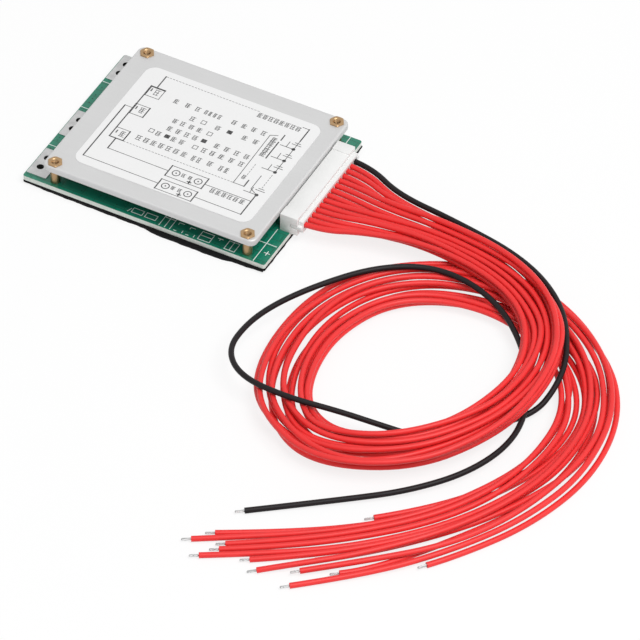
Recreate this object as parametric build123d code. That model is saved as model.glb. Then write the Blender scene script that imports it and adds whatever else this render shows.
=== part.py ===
from build123d import *
import math
import os

# A battery management board: a circuit board on an insulating sheet, with a heat plate clamped over its
# power transistors by four brass barrel nuts, and a plugged-in harness of sense wires in a loose loop.
# X runs along the board towards the wire connector, Y to the far long edge, Z up from the underside.

# Insulating sheet under the board
sheet_thickness = 1.6
sheet_inset = 0.3
sheet_curl = 0.6
sheet_curl_length = 15.0

# Circuit board
board_length = 84.0
board_width = 64.0
board_thickness = 1.6
board_corner = 0.8

# Heat plate, set in from the board's edges, and its label, set in from the plate's edges
plate_pad_margin = 6.7
plate_plug_margin = 3.7
plate_front_margin = 0.1
plate_far_margin = 1.1
plate_thickness = 2.5
plate_corner = 2.2
plate_edge = 0.6
plate_gap = 5.1
label_pad_margin = 7.1
label_plug_margin = 5.5
label_front_margin = 6.1
label_far_margin = 7.0
label_corner = 3.5
label_thickness = 0.15

# Barrel nuts through the plate, with a screw in each from below
nut_margin_x = 3.45
nut_margin_y = 2.55
nut_flats = 4.2
nut_head = 0.5
barrel_diameter = 3.0
nut_bore = 1.9
nut_mouth = 2.6
screw_diameter = 1.8
screw_head_diameter = 3.8
screw_head_height = 1.1
screw_reach = 4.0
screw_recess_width = 0.5
screw_recess_depth = 0.6
hole_clearance = 0.2

# Terminal pads on the short edge, two wire holes in each
pad_length = 12.4
pad_width = 6.8
pad_thickness = 0.25
pad_margin = 0.3
pad_hole_diameter = 2.3
pad_hole_spacing = 4.5
pad_hole_margin = 3.0
pad_front_margin = 8.0
pad_far_margin = 6.5
pad_pitch = 19.9

# Power transistors under the plate, as many as stand between the nuts, and the thermal pad on them
transistor_pitch = 9.9
transistor_nut_clearance = 0.4
transistor_width = 9.2
transistor_depth = 9.0
transistor_height = 4.4
transistor_inset = 8.8
tab_thickness = 1.3
tab_reach = 1.4
lead_width = 0.8
lead_thickness = 0.5
lead_spacing = 5.0
lead_reach = 3.0
lead_foot = 1.5
lead_exit = 2.4
body_taper = 5.0

# Small parts on the board
shunt_count = 3
shunt_size = (3.2, 6.3, 0.8)
shunt_pitch = 4.0
shunt_inset = 8.3
shunt_far_margin = 4.0
cell_pitch = 4.0
cell_margin = 5.8
part_clearance = 3.0
resistor_size = (1.6, 3.2, 0.6)
resistor_far_margin = 4.0
capacitor_size = (1.25, 2.0, 0.9)
capacitor_margin = 14.4
chip_cap_length = 0.45
small_transistor_size = (2.9, 1.4, 1.0)
small_transistor_margin = 9.8
small_lead = (0.4, 0.6, 0.3)
chip_ic_size = (4.0, 8.7, 1.5)
chip_ic_pitch = 12.0
chip_ic_margin = 22.3
chip_ic_row = 6.0
chip_ic_leads = 7
chip_ic_lead_pitch = 1.27
chip_ic_lead = (1.0, 0.4, 0.2)

# Wire connector: a side-entry header on the board and the harness plug in it
way_count = 14
way_pitch = 2.5
connector_centre = 3.25
header_length = 37.8
header_depth = 5.9
header_height = 6.2
header_shoulder_length = 4.0
header_shoulder_rise = 0.35
header_wall = 0.8
header_end_wall = 0.9
header_back_wall = 1.6
header_plate_gap = 0.3
key_slot_height = 1.4
key_slot_depth = 2.4
pin_size = 0.64
pin_hole_diameter = 1.0
pin_setback = 0.7
pin_tip = 2.6
plug_clearance = 0.1
plug_depth = 5.6
plug_back_gap = 0.2
cavity_size = 2.05
contact_size = 1.8
contact_bore = 0.9
contact_length = 2.4
crimp_diameter = 1.7
crimp_length = 1.0
contact_setback = 0.2

# Harness wires
wire_diameter = 1.8
wire_straight = 5.5
floor_clearance = 0.05
strip_diameter = 0.8
strip_length = 3.0

board_bottom = sheet_thickness
board_top = board_bottom + board_thickness
board_front = -board_width / 2
board_far = board_width / 2
plate_bottom = board_top + plate_gap
plate_top = plate_bottom + plate_thickness
plate_pad_end = -board_length / 2 + plate_pad_margin
plate_plug_end = board_length / 2 - plate_plug_margin
plate_front = board_front + plate_front_margin
plate_far = board_far - plate_far_margin
nut_columns = (plate_pad_end + nut_margin_x, plate_plug_end - nut_margin_x)
nut_rows = (plate_front + nut_margin_y, plate_far - nut_margin_y)
nut_spots = [(x, y) for x in nut_columns for y in nut_rows]
pad_x = -board_length / 2 + pad_margin + pad_width / 2
pad_hole_x = -board_length / 2 + pad_hole_margin
pad_centres = {
    "charge": board_front + pad_front_margin,
    "load": board_front + pad_front_margin + pad_pitch,
    "battery": board_far - pad_far_margin,
}
transistor_x = plate_pad_end + transistor_inset
transistor_room = nut_rows[1] - nut_rows[0] - barrel_diameter - 2 * transistor_nut_clearance
transistor_count = int((transistor_room - transistor_width) / transistor_pitch) + 1
tab_end = transistor_x + transistor_depth / 2 + tab_reach
resistor_row = board_far - resistor_far_margin
small_transistor_row = board_front + small_transistor_margin
capacitor_row = board_front + capacitor_margin
cell_last = plate_plug_end - cell_margin
cell_count = int((cell_last - tab_end - part_clearance) / cell_pitch) + 1
chip_ic_last = plate_plug_end - chip_ic_margin
chip_ic_room = chip_ic_last - tab_end - part_clearance - (chip_ic_size[0] + chip_ic_lead[0]) / 2
chip_ic_count = int(chip_ic_room / chip_ic_pitch) + 1
header_back = plate_plug_end + header_plate_gap
header_mouth = header_back + header_depth
header_floor = board_top + header_wall
way_height = board_top + header_height / 2
way_places = [connector_centre + (i - (way_count - 1) / 2) * way_pitch for i in range(way_count)]
pin_x = header_back - pin_setback
plug_front = header_back + header_back_wall + plug_back_gap
plug_rear = plug_front + plug_depth
contact_front = plug_front + contact_setback
wire_start = contact_front + contact_length + crimp_length
wire_floor = wire_diameter / 2 + floor_clearance


def block(low, high):
    """A box between two corners."""
    size = [b - a for a, b in zip(low, high)]
    middle = [(a + b) / 2 for a, b in zip(low, high)]
    return Pos(*middle) * Box(*size)


def rod(x, y, bottom, top, diameter):
    """An upright cylinder."""
    return Pos(x, y, (bottom + top) / 2) * Cylinder(diameter / 2, top - bottom)


def rounded_plate(low, high, corner):
    """A flat plate with rounded corners, between two corners of its box."""
    outline = RectangleRounded(high[0] - low[0], high[1] - low[1], corner)
    place = Pos((low[0] + high[0]) / 2, (low[1] + high[1]) / 2, low[2])
    return place * extrude(outline, high[2] - low[2])


def insulating_sheet():
    """The sheet under the board: flat in the middle, curling up a little to its short ends."""
    half = board_length / 2 - sheet_inset
    flat = board_length / 2 - sheet_curl_length
    middle = Line((-flat, 0), (flat, 0))
    right = TangentArc((flat, 0), (half, sheet_curl), tangent=(1, 0))
    left = TangentArc((-flat, 0), (-half, sheet_curl), tangent=(-1, 0))
    top = Polyline((half, sheet_curl), (half, sheet_thickness), (-half, sheet_thickness), (-half, sheet_curl))
    section = Plane.XZ * make_face([middle, right, top, left])
    sheet = extrude(section, board_width / 2 - sheet_inset, both=True)
    sheet = fillet(sheet.edges().filter_by(Axis.Z), board_corner)
    pocket_floor = sheet_thickness - screw_head_height - hole_clearance / 2
    for x, y in nut_spots:
        sheet -= rod(x, y, pocket_floor, board_bottom + 1, screw_head_diameter + 2 * hole_clearance)
    return sheet


def circuit_board():
    """The board with its terminal holes, screw holes and connector pin holes."""
    half = board_length / 2
    board = rounded_plate((-half, board_front, board_bottom), (half, board_far, board_top), board_corner)
    for x, y in nut_spots:
        board -= rod(x, y, 0, board_top + 1, screw_diameter + hole_clearance)
    for x, y in terminal_holes():
        board -= rod(x, y, 0, board_top + 1, pad_hole_diameter)
    for y in way_places:
        board -= rod(pin_x, y, 0, board_top + 1, pin_hole_diameter)
    return board


def terminal_holes():
    """Centres of the two wire holes in each terminal pad."""
    half = pad_hole_spacing / 2
    return [(pad_hole_x, centre + side * half) for centre in pad_centres.values() for side in (-1, 1)]


def terminal_pad(centre):
    """A tinned pad with its two wire holes."""
    low = (pad_x - pad_width / 2, centre - pad_length / 2, board_top)
    high = (pad_x + pad_width / 2, centre + pad_length / 2, board_top + pad_thickness)
    pad = rounded_plate(low, high, pad_margin)
    for side in (-1, 1):
        y = centre + side * pad_hole_spacing / 2
        pad -= rod(pad_hole_x, y, board_top - 1, board_top + 1, pad_hole_diameter)
    return pad


def heat_plate():
    """The aluminium plate with rounded edges and a hole for each barrel nut."""
    low = (plate_pad_end, plate_front, plate_bottom)
    plate = rounded_plate(low, (plate_plug_end, plate_far, plate_top), plate_corner)
    level_edges = plate.edges().group_by(Axis.Z)
    plate = fillet(level_edges[0] + level_edges[-1], plate_edge)
    for x, y in nut_spots:
        plate -= rod(x, y, plate_bottom - 1, plate_top + 1, barrel_diameter + hole_clearance)
    return plate


def plate_label():
    """The printed label stuck on the plate."""
    low = (plate_pad_end + label_pad_margin, plate_front + label_front_margin, plate_top)
    high = (plate_plug_end - label_plug_margin, plate_far - label_far_margin, plate_top + label_thickness)
    return rounded_plate(low, high, label_corner)


def barrel_nut(x, y):
    """A brass nut: a thin hexagon on the plate and a round bored barrel down to the board."""
    head = Pos(x, y, plate_top) * extrude(RegularPolygon(nut_flats / 2, 6, major_radius=False), nut_head)
    nut = head + rod(x, y, board_top, plate_top, barrel_diameter)
    nut -= rod(x, y, board_top - 1, plate_top + nut_head + 1, nut_bore)
    depth = (nut_mouth - nut_bore) / 2
    mouth = Cone(nut_bore / 2, nut_mouth / 2, depth)
    nut -= Pos(x, y, plate_top + nut_head - depth / 2) * mouth
    return nut


def clamp_screw(x, y):
    """The pan-head screw that draws a barrel nut down, driven from under the board."""
    head_bottom = board_bottom - screw_head_height
    screw = rod(x, y, head_bottom, board_bottom, screw_head_diameter)
    screw = fillet(screw.edges().group_by(Axis.Z)[0], screw_head_height / 2)
    for length, width in ((1, 0), (0, 1)):
        span = screw_head_diameter * 0.6
        size_x = span if length else screw_recess_width
        size_y = span if width else screw_recess_width
        screw -= Pos(x, y, head_bottom) * Box(size_x, size_y, 2 * screw_recess_depth)
    return screw + rod(x, y, board_bottom, board_top + screw_reach, screw_diameter)


def transistor_rows():
    """Centre of each power transistor along the board's width."""
    return [(i - (transistor_count - 1) / 2) * transistor_pitch for i in range(transistor_count)]


def transistor_body(y):
    """A moulded transistor body with drafted sides, open below for its metal tab."""
    foot = Pos(transistor_x, y, board_top) * Rectangle(transistor_depth, transistor_width)
    body = extrude(foot, transistor_height, taper=body_taper)
    return body - transistor_tab(y)


def transistor_tab(y):
    """The flat metal tab under a transistor, reaching out on the side away from its leads."""
    width = transistor_width - 2 * lead_thickness
    low = (transistor_x - transistor_depth / 4, y - width / 2, board_top)
    high = (transistor_x + transistor_depth / 2 + tab_reach, y + width / 2, board_top + tab_thickness)
    return block(low, high)


def transistor_lead(y):
    """A bent lead from the body's side down to its foot on the board."""
    draft = lead_exit * math.tan(math.radians(body_taper))
    inner = transistor_x - transistor_depth / 2 + draft
    knee = inner - (lead_reach - lead_foot)
    outer = inner - lead_reach
    top = board_top + lead_exit
    line = [
        (inner, top),
        (knee, top),
        (knee, board_top + lead_thickness),
        (outer, board_top + lead_thickness),
        (outer, board_top),
        (knee + lead_thickness, board_top),
        (knee + lead_thickness, top - lead_thickness),
        (inner - lead_thickness * math.tan(math.radians(body_taper)), top - lead_thickness),
    ]
    section = Plane.XZ * make_face(Polyline(*line, close=True))
    return Pos(0, y, 0) * extrude(section, lead_width / 2, both=True)


def thermal_pad():
    """The soft pad between the transistor bodies and the plate."""
    slack = transistor_height * math.tan(math.radians(body_taper))
    half_depth = transistor_depth / 2 - slack
    half_width = transistor_rows()[-1] + transistor_width / 2 - slack
    low = (transistor_x - half_depth, -half_width, board_top + transistor_height)
    high = (transistor_x + half_depth, half_width, plate_bottom)
    return block(low, high)


def chip_body(size, x, y):
    """The middle of a chip part lying along Y."""
    width, length, height = size
    half = length / 2 - chip_cap_length
    return block((x - width / 2, y - half, board_top), (x + width / 2, y + half, board_top + height))


def chip_caps(size, x, y):
    """The two plated ends of a chip part."""
    width, length, height = size
    caps = []
    for side in (-1, 1):
        middle = y + side * (length - chip_cap_length) / 2
        low = (x - width / 2, middle - chip_cap_length / 2, board_top)
        high = (x + width / 2, middle + chip_cap_length / 2, board_top + height)
        caps.append(block(low, high))
    return caps


def cell_places():
    """Where each cell's own parts stand along the board, as many as fit between the tabs and the connector."""
    return [cell_last - i * cell_pitch for i in reversed(range(cell_count))]


def small_transistor(x):
    """A three-lead transistor body, raised on its leads."""
    length, width, height = small_transistor_size
    rise = small_lead[2]
    low = (x - length / 2, small_transistor_row - width / 2, board_top + rise)
    high = (x + length / 2, small_transistor_row + width / 2, board_top + rise + height)
    return block(low, high)


def small_transistor_leads(x):
    """Three lead ends under a small transistor: two on one side and one on the other."""
    width, length, height = small_lead
    offset = small_transistor_size[0] / 2 - width
    leads = []
    for dx, side in ((-offset, -1), (offset, -1), (0, 1)):
        y = small_transistor_row + side * small_transistor_size[1] / 2
        low = (x + dx - width / 2, y - length / 2, board_top)
        high = (x + dx + width / 2, y + length / 2, board_top + height)
        leads.append(block(low, high))
    return leads


def control_chip(x, y):
    """A control chip's moulded body, raised on its leads, with a pin-one dimple."""
    width, length, height = chip_ic_size
    rise = chip_ic_lead[2]
    low = (x - width / 2, y - length / 2, board_top + rise)
    high = (x + width / 2, y + length / 2, board_top + rise + height)
    dimple = rod(x - width / 4, y - length / 3, high[2] - chip_ic_lead[2], high[2] + 1, chip_ic_lead[0])
    return block(low, high) - dimple


def control_chip_leads(x, y):
    """The two rows of leads of a control chip."""
    reach, width, height = chip_ic_lead
    leads = []
    for side in (-1, 1):
        for i in range(chip_ic_leads):
            lead_y = y + (i - (chip_ic_leads - 1) / 2) * chip_ic_lead_pitch
            lead_x = x + side * chip_ic_size[0] / 2
            low = (lead_x - reach / 2, lead_y - width / 2, board_top)
            high = (lead_x + reach / 2, lead_y + width / 2, board_top + height)
            leads.append(block(low, high))
    return leads


def header_housing():
    """The white side-entry shell on the board: raised shoulders, and a slot in each end wall to key the plug."""
    half = header_length / 2
    low = (header_back, connector_centre - half, board_top)
    high = (header_mouth, connector_centre + half, board_top + header_height)
    shell = block(low, high)
    shoulder_top = high[2] + header_shoulder_rise
    shell += block(low, (header_mouth, low[1] + header_shoulder_length, shoulder_top))
    shell += block((header_back, high[1] - header_shoulder_length, board_top), (header_mouth, high[1], shoulder_top))
    inner = half - header_end_wall
    cavity_low = (header_back + header_back_wall, connector_centre - inner, header_floor)
    cavity_high = (header_mouth + 1, connector_centre + inner, board_top + header_height - header_wall)
    shell -= block(cavity_low, cavity_high)
    slot_low = (header_mouth - key_slot_depth, low[1] - 1, way_height - key_slot_height / 2)
    slot_high = (header_mouth + 1, high[1] + 1, way_height + key_slot_height / 2)
    shell -= block(slot_low, slot_high)
    for y in way_places:
        shell -= Pos(header_back, y, way_height) * Box(4 * header_back_wall, pin_size, pin_size)
    return shell


def header_pin(y):
    """A square right-angle pin from the board up and forward through the header's back wall."""
    half = pin_size / 2
    tip = header_back + header_back_wall + pin_tip
    forward = block((pin_x - half, y - half, way_height - half), (tip, y + half, way_height + half))
    tail = block((pin_x - half, y - half, board_bottom), (pin_x + half, y + half, way_height))
    return forward + tail


def plug_housing():
    """The harness plug: a block with a cavity for each contact and a key rib on each end."""
    half = header_length / 2 - header_end_wall - plug_clearance
    low = (plug_front, connector_centre - half, header_floor + plug_clearance)
    top = board_top + header_height - header_wall - plug_clearance
    plug = block(low, (plug_rear, connector_centre + half, top))
    rib = header_length / 2
    rib_half = key_slot_height / 2 - plug_clearance
    rib_low = (header_mouth - key_slot_depth + plug_clearance, connector_centre - rib, way_height - rib_half)
    plug += block(rib_low, (plug_rear, connector_centre + rib, way_height + rib_half))
    for y in way_places:
        plug -= Pos((plug_front + plug_rear) / 2, y, way_height) * Box(2 * plug_depth, cavity_size, cavity_size)
    return plug


def crimp_contact(y):
    """A crimped contact: a box that takes the pin and a round crimp that holds the wire."""
    box_rear = contact_front + contact_length
    half = contact_size / 2
    contact = block((contact_front, y - half, way_height - half), (box_rear, y + half, way_height + half))
    barrel = Rot(0, 90, 0) * Cylinder(crimp_diameter / 2, crimp_length)
    crimp = Pos(box_rear + crimp_length / 2, y, way_height) * barrel
    bore = Pos(contact_front, y, way_height) * Box(2 * contact_length, contact_bore, contact_bore)
    return contact + crimp - bore


# Way of each wire after its straight lead, the black wire last: x past the plug, y from the connector's middle,
# height over a wire that lies on the floor
wire_ways = [
    [
        (17.5, -11.7, 6.4), (36.8, -7.9, 7.2), (59.2, -11.0, 7.5), (75.6, -20.0, 7.4),
        (84.4, -35.6, 7.0), (84.8, -50.9, 6.6), (78.3, -69.4, 5.7), (67.3, -81.0, 4.6),
        (50.3, -89.4, 3.6), (36.7, -83.7, 2.7), (30.1, -69.2, 1.9), (28.8, -49.9, 1.4),
        (36.2, -30.5, 0.9), (53.9, -19.2, 0.4), (76.2, -18.1, 0.0), (95.6, -27.9, 0.0),
        (107.5, -46.1, 0.0), (106.6, -67.7, 0.0), (98.3, -84.1, 0.0), (84.8, -101.7, 0.0),
        (73.2, -111.8, 0.0),
    ],
    [
        (17.5, -10.0, 5.2), (37.0, -7.1, 5.3), (62.3, -11.9, 5.5), (75.3, -20.9, 5.4),
        (82.4, -32.4, 5.2), (84.7, -51.4, 4.5), (79.7, -69.9, 4.1), (66.3, -84.7, 3.4),
        (49.2, -91.6, 2.7), (36.6, -86.8, 2.2), (28.1, -71.2, 1.8), (26.7, -48.2, 1.4),
        (32.9, -30.9, 1.0), (53.3, -16.8, 0.6), (77.8, -16.1, 0.3), (98.5, -27.9, 0.2),
        (108.7, -43.4, 0.1), (109.5, -64.8, 0.1), (99.9, -87.1, 0.0), (88.1, -101.6, 0.0),
        (70.3, -117.7, 0.0), (51.8, -130.2, 0.0), (35.8, -139.2, 0.0),
    ],
    [
        (17.8, -8.0, 4.9), (37.4, -5.0, 5.1), (60.8, -8.8, 5.4), (76.5, -18.4, 5.3), (85.0, -33.8, 5.2),
        (86.7, -48.6, 4.6), (82.8, -68.4, 4.1), (68.7, -86.9, 4.1), (49.2, -95.8, 4.1),
        (34.0, -92.4, 3.5), (21.0, -71.3, 3.1), (20.4, -49.8, 3.0), (29.6, -27.8, 3.1),
        (50.0, -13.9, 2.7), (75.6, -14.4, 2.4), (96.8, -30.8, 1.7), (103.4, -46.1, 0.8),
        (104.0, -66.6, 1.3), (99.3, -83.4, 2.1), (87.5, -103.3, 2.0), (70.9, -119.1, 1.3),
        (52.6, -131.9, 0.7), (30.9, -144.6, 0.0),
    ],
    [
        (17.4, -6.8, 6.6), (37.0, -5.1, 7.1), (63.4, -10.2, 7.3), (78.6, -20.4, 7.2),
        (85.7, -31.7, 7.0), (87.2, -51.6, 6.6), (80.6, -70.2, 5.9), (68.1, -84.3, 5.3),
        (49.1, -91.9, 4.6), (35.6, -84.0, 4.3), (29.8, -68.8, 3.9), (28.7, -51.0, 3.5),
        (36.0, -32.1, 3.1), (52.0, -22.2, 2.7), (72.6, -21.1, 2.4), (92.7, -31.6, 2.2),
        (103.3, -48.4, 2.8), (104.5, -68.8, 3.4), (99.9, -86.9, 3.1), (89.6, -104.2, 2.4),
        (72.0, -121.0, 1.6), (53.7, -134.0, 0.8), (40.5, -141.6, 0.0),
    ],
    [
        (18.2, -4.9, 5.8), (38.2, -3.2, 6.5), (63.2, -7.5, 7.2), (80.7, -19.1, 7.6), (87.0, -30.9, 8.0),
        (88.6, -48.3, 8.1), (83.7, -65.7, 8.0), (66.4, -85.8, 7.4), (47.2, -92.5, 6.3),
        (36.4, -87.5, 5.0), (27.7, -71.9, 4.4), (26.1, -51.5, 3.9), (34.6, -30.7, 3.5),
        (50.5, -20.4, 3.1), (74.8, -19.1, 2.8), (92.0, -27.8, 3.0), (105.8, -48.1, 3.1),
        (106.9, -66.9, 2.7), (101.4, -88.4, 2.2), (89.9, -106.7, 1.8), (73.5, -122.2, 1.3),
        (55.0, -135.6, 0.6), (39.9, -144.4, 0.0),
    ],
    [
        (17.9, -3.2, 6.5), (37.8, -1.2, 6.9), (65.0, -5.7, 7.1), (79.9, -14.8, 7.2), (89.6, -30.8, 7.3),
        (90.6, -49.3, 7.2), (85.8, -66.5, 6.8), (70.2, -86.3, 6.2), (47.6, -95.4, 5.7),
        (30.2, -87.0, 5.3), (22.4, -72.2, 5.2), (21.2, -45.9, 5.1), (29.8, -26.0, 4.7),
        (47.8, -13.4, 3.9), (73.5, -11.5, 3.2), (97.8, -25.2, 2.6), (110.1, -46.2, 2.0),
        (110.6, -66.8, 1.5), (104.3, -86.8, 1.0), (92.2, -106.1, 0.5), (75.1, -123.5, 0.2),
        (56.3, -137.3, 0.1), (36.0, -149.3, 0.0),
    ],
    [
        (17.6, -2.1, 4.6), (37.2, -2.1, 4.8), (63.8, -7.6, 5.2), (79.1, -18.6, 5.3), (86.4, -31.0, 5.4),
        (89.0, -49.9, 5.0), (83.5, -71.6, 3.9), (70.0, -88.2, 2.8), (48.9, -96.3, 2.0),
        (32.5, -87.5, 2.1), (25.0, -70.2, 2.2), (23.4, -47.6, 2.0), (31.0, -26.9, 1.0),
        (48.4, -13.6, 0.9), (74.7, -10.9, 1.2), (100.8, -24.6, 1.5), (111.7, -41.0, 2.0),
        (113.6, -67.8, 1.9), (105.6, -89.8, 1.5), (94.7, -105.9, 1.2), (76.6, -124.8, 0.8),
        (57.5, -139.1, 0.4), (49.6, -143.8, 0.0),
    ],
    [
        (18.0, -0.3, 5.1), (38.0, -0.1, 5.1), (61.2, -4.3, 5.1), (79.4, -15.6, 5.2), (88.5, -30.4, 5.3),
        (90.8, -49.5, 5.2), (86.9, -69.2, 4.6), (70.8, -91.4, 4.4), (51.6, -101.3, 4.2),
        (25.0, -93.1, 3.8), (14.4, -75.0, 3.4), (13.8, -43.8, 3.0), (24.1, -21.4, 2.7),
        (48.5, -4.4, 2.3), (75.5, -3.0, 2.1), (102.2, -18.4, 1.9), (116.3, -42.5, 1.5),
        (117.0, -67.8, 1.8), (107.7, -90.5, 2.0), (96.3, -106.9, 1.2), (77.8, -126.5, 0.6),
        (66.3, -135.2, 0.0),
    ],
    [
        (18.1, 1.2, 6.3), (38.3, 0.8, 7.1), (63.9, -3.0, 8.0), (83.2, -13.4, 8.5), (92.9, -27.2, 8.0),
        (95.4, -51.2, 7.4), (90.8, -70.2, 6.8), (76.5, -92.2, 6.4), (51.0, -102.8, 6.2),
        (27.7, -91.0, 5.7), (19.5, -72.7, 4.8), (18.5, -47.6, 4.0), (28.6, -25.1, 3.3),
        (47.8, -11.3, 2.8), (76.3, -9.7, 3.0), (97.7, -22.4, 3.5), (111.0, -44.4, 3.6),
        (112.5, -66.9, 3.7), (107.9, -87.2, 3.8), (96.6, -107.8, 3.3), (78.8, -127.3, 2.2),
        (59.7, -142.4, 1.1), (53.4, -146.6, 0.0),
    ],
    [
        (18.2, 2.9, 7.1), (38.5, 2.3, 8.6), (63.1, -2.3, 9.9), (82.0, -13.4, 10.3), (93.1, -31.7, 9.9),
        (94.9, -52.4, 9.4), (91.1, -71.4, 8.7), (76.6, -94.0, 7.8), (49.3, -105.5, 6.8),
        (25.8, -94.2, 5.8), (16.5, -75.7, 5.2), (15.3, -49.8, 4.8), (27.6, -22.9, 4.3),
        (48.4, -9.3, 3.5), (76.7, -7.7, 3.0), (101.4, -21.8, 3.2), (115.2, -44.3, 3.6),
        (117.7, -65.6, 3.8), (110.6, -92.9, 3.2), (98.1, -113.4, 2.5), (80.3, -129.2, 1.6),
        (64.7, -141.4, 0.6),
    ],
    [
        (18.4, 3.8, 5.0), (38.7, 2.1, 5.0), (64.5, -3.4, 5.2), (81.7, -15.3, 4.9), (90.7, -30.5, 5.0),
        (92.7, -50.9, 5.5), (88.9, -69.1, 4.3), (73.8, -91.5, 2.8), (48.6, -100.3, 1.7),
        (32.2, -90.1, 1.0), (23.5, -69.5, 0.3), (23.2, -50.0, 0.0), (33.8, -26.5, 0.0),
        (48.6, -16.6, 0.0), (73.6, -13.1, 0.0), (98.6, -24.2, 0.0), (112.1, -42.6, 0.0),
        (115.0, -65.8, 0.0), (109.7, -88.2, 0.0), (96.0, -111.2, 0.0), (81.7, -131.0, 0.0),
        (74.8, -136.3, 0.0),
    ],
    [
        (18.1, 5.6, 5.9), (38.4, 3.6, 6.3), (62.6, -1.2, 6.3), (80.9, -11.9, 6.3), (92.3, -32.2, 7.2),
        (92.4, -51.0, 7.4), (86.9, -68.4, 6.9), (72.7, -87.4, 6.0), (47.9, -98.9, 4.6),
        (27.4, -90.8, 3.6), (16.3, -70.3, 3.2), (15.8, -45.5, 2.8), (26.0, -22.1, 2.7),
        (48.9, -7.2, 2.7), (74.8, -5.8, 3.1), (98.9, -16.9, 3.8), (116.4, -39.1, 3.6),
        (120.0, -68.5, 2.8), (112.5, -92.9, 2.0), (99.9, -113.1, 1.3), (83.1, -132.5, 0.6),
        (64.6, -147.5, 0.0),
    ],
    [
        (18.2, 7.2, 5.0), (38.6, 4.9, 4.7), (66.4, -0.9, 4.9), (82.7, -12.0, 5.3), (93.4, -29.9, 5.4),
        (95.4, -50.0, 5.6), (90.0, -71.4, 4.8), (75.4, -92.3, 3.7), (49.0, -103.2, 2.7),
        (30.6, -94.9, 1.8), (19.1, -74.1, 1.3), (17.6, -46.5, 0.9), (26.7, -23.8, 0.6),
        (47.5, -8.1, 0.3), (79.9, -6.0, 0.0), (104.5, -19.8, 0.0), (118.0, -40.0, 0.0),
        (121.4, -66.3, 0.0), (114.5, -92.1, 0.0), (101.6, -113.7, 0.0), (95.3, -121.4, 0.0),
    ],
    [
        (18.5, 9.0, 5.7), (38.9, 6.5, 6.0), (66.0, 1.3, 6.1), (84.6, -11.1, 6.0), (94.9, -29.0, 5.7),
        (97.3, -41.1, 4.1), (95.5, -52.8, 1.2), (83.5, -65.8, 1.3), (69.5, -78.6, 2.6),
        (59.2, -81.0, 4.4), (46.5, -83.5, 6.3), (31.1, -86.6, 7.4), (15.2, -85.7, 7.6),
        (6.2, -77.4, 7.3), (5.7, -64.6, 7.0), (9.2, -52.2, 6.8), (16.8, -38.3, 6.6), (27.2, -24.4, 6.4),
        (40.2, -15.6, 6.1), (54.2, -14.7, 5.7), (68.1, -19.8, 4.9), (78.0, -27.8, 3.5),
        (85.4, -37.2, 3.0), (93.7, -53.3, 3.6), (95.7, -68.3, 3.0), (89.8, -84.2, 2.2),
        (77.9, -98.2, 1.5), (63.5, -109.2, 0.7), (39.0, -127.2, 0.0),
    ],
]


def wire_route(way):
    """The points of one wire's route, from its contact to its cut end."""
    lead_end = plug_rear + wire_straight
    route = [Vector(wire_start, way_places[way], way_height), Vector(lead_end, way_places[way], way_height)]
    for past, aside, height in wire_ways[way]:
        route.append(Vector(plug_rear + past, connector_centre + aside, wire_floor + height))
    return route


def wire_path(route):
    """The route as straight runs joined by tangent arcs."""
    radii = []
    for before, corner, after in zip(route, route[1:], route[2:]):
        half_turn = math.radians((corner - before).get_angle(after - corner)) / 2
        shorter = min((corner - before).length, (after - corner).length)
        radii.append(0.45 * shorter / math.tan(half_turn))
    return FilletPolyline(*route, radius=radii)


def wire(route):
    """A round insulated wire along its route."""
    path = wire_path(route)
    section = Plane(origin=path @ 0, z_dir=path % 0) * Circle(wire_diameter / 2)
    return sweep(section, path=path)


def stripped_end(route):
    """The tinned strands past a wire's cut end."""
    direction = (route[-1] - route[-2]).normalized()
    face = Plane(origin=route[-1], z_dir=direction)
    return extrude(face * Circle(strip_diameter / 2), strip_length)


cells = cell_places()
rows = transistor_rows()
shunt_first = plate_pad_end + shunt_inset
shunts = [(shunt_first + i * shunt_pitch, board_far - shunt_far_margin) for i in range(shunt_count)]
control_chip_spots = [(chip_ic_last - i * chip_ic_pitch, chip_ic_row) for i in reversed(range(chip_ic_count))]
routes = [wire_route(way) for way in range(way_count)]

nodes = {
    "insulating_sheet": [insulating_sheet()],
    "circuit_board": [circuit_board()],
    "heat_plate": [heat_plate()],
    "plate_label": [plate_label()],
    "barrel_nuts": [barrel_nut(x, y) for x, y in nut_spots],
    "clamp_screws": [clamp_screw(x, y) for x, y in nut_spots],
    "transistor_bodies": [transistor_body(y) for y in rows],
    "transistor_tabs": [transistor_tab(y) for y in rows],
    "transistor_leads": [transistor_lead(y + s * lead_spacing / 2) for y in rows for s in (-1, 1)],
    "thermal_pad": [thermal_pad()],
    "shunt_bodies": [chip_body(shunt_size, x, y) for x, y in shunts],
    "shunt_ends": [cap for x, y in shunts for cap in chip_caps(shunt_size, x, y)],
    "balance_resistors": [chip_body(resistor_size, x, resistor_row) for x in cells],
    "resistor_ends": [cap for x in cells for cap in chip_caps(resistor_size, x, resistor_row)],
    "balance_transistors": [small_transistor(x) for x in cells],
    "balance_transistor_leads": [lead for x in cells for lead in small_transistor_leads(x)],
    "chip_capacitors": [chip_body(capacitor_size, x, capacitor_row) for x in cells],
    "capacitor_ends": [cap for x in cells for cap in chip_caps(capacitor_size, x, capacitor_row)],
    "control_chips": [control_chip(x, y) for x, y in control_chip_spots],
    "control_chip_leads": [lead for x, y in control_chip_spots for lead in control_chip_leads(x, y)],
    "header_housing": [header_housing()],
    "header_pins": [header_pin(y) for y in way_places],
    "plug_housing": [plug_housing()],
    "crimp_contacts": [crimp_contact(y) for y in way_places],
    "stripped_ends": [stripped_end(route) for route in routes],
}
for pad_name, pad_centre in pad_centres.items():
    nodes["terminal_pad_" + pad_name] = [terminal_pad(pad_centre)]
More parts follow.
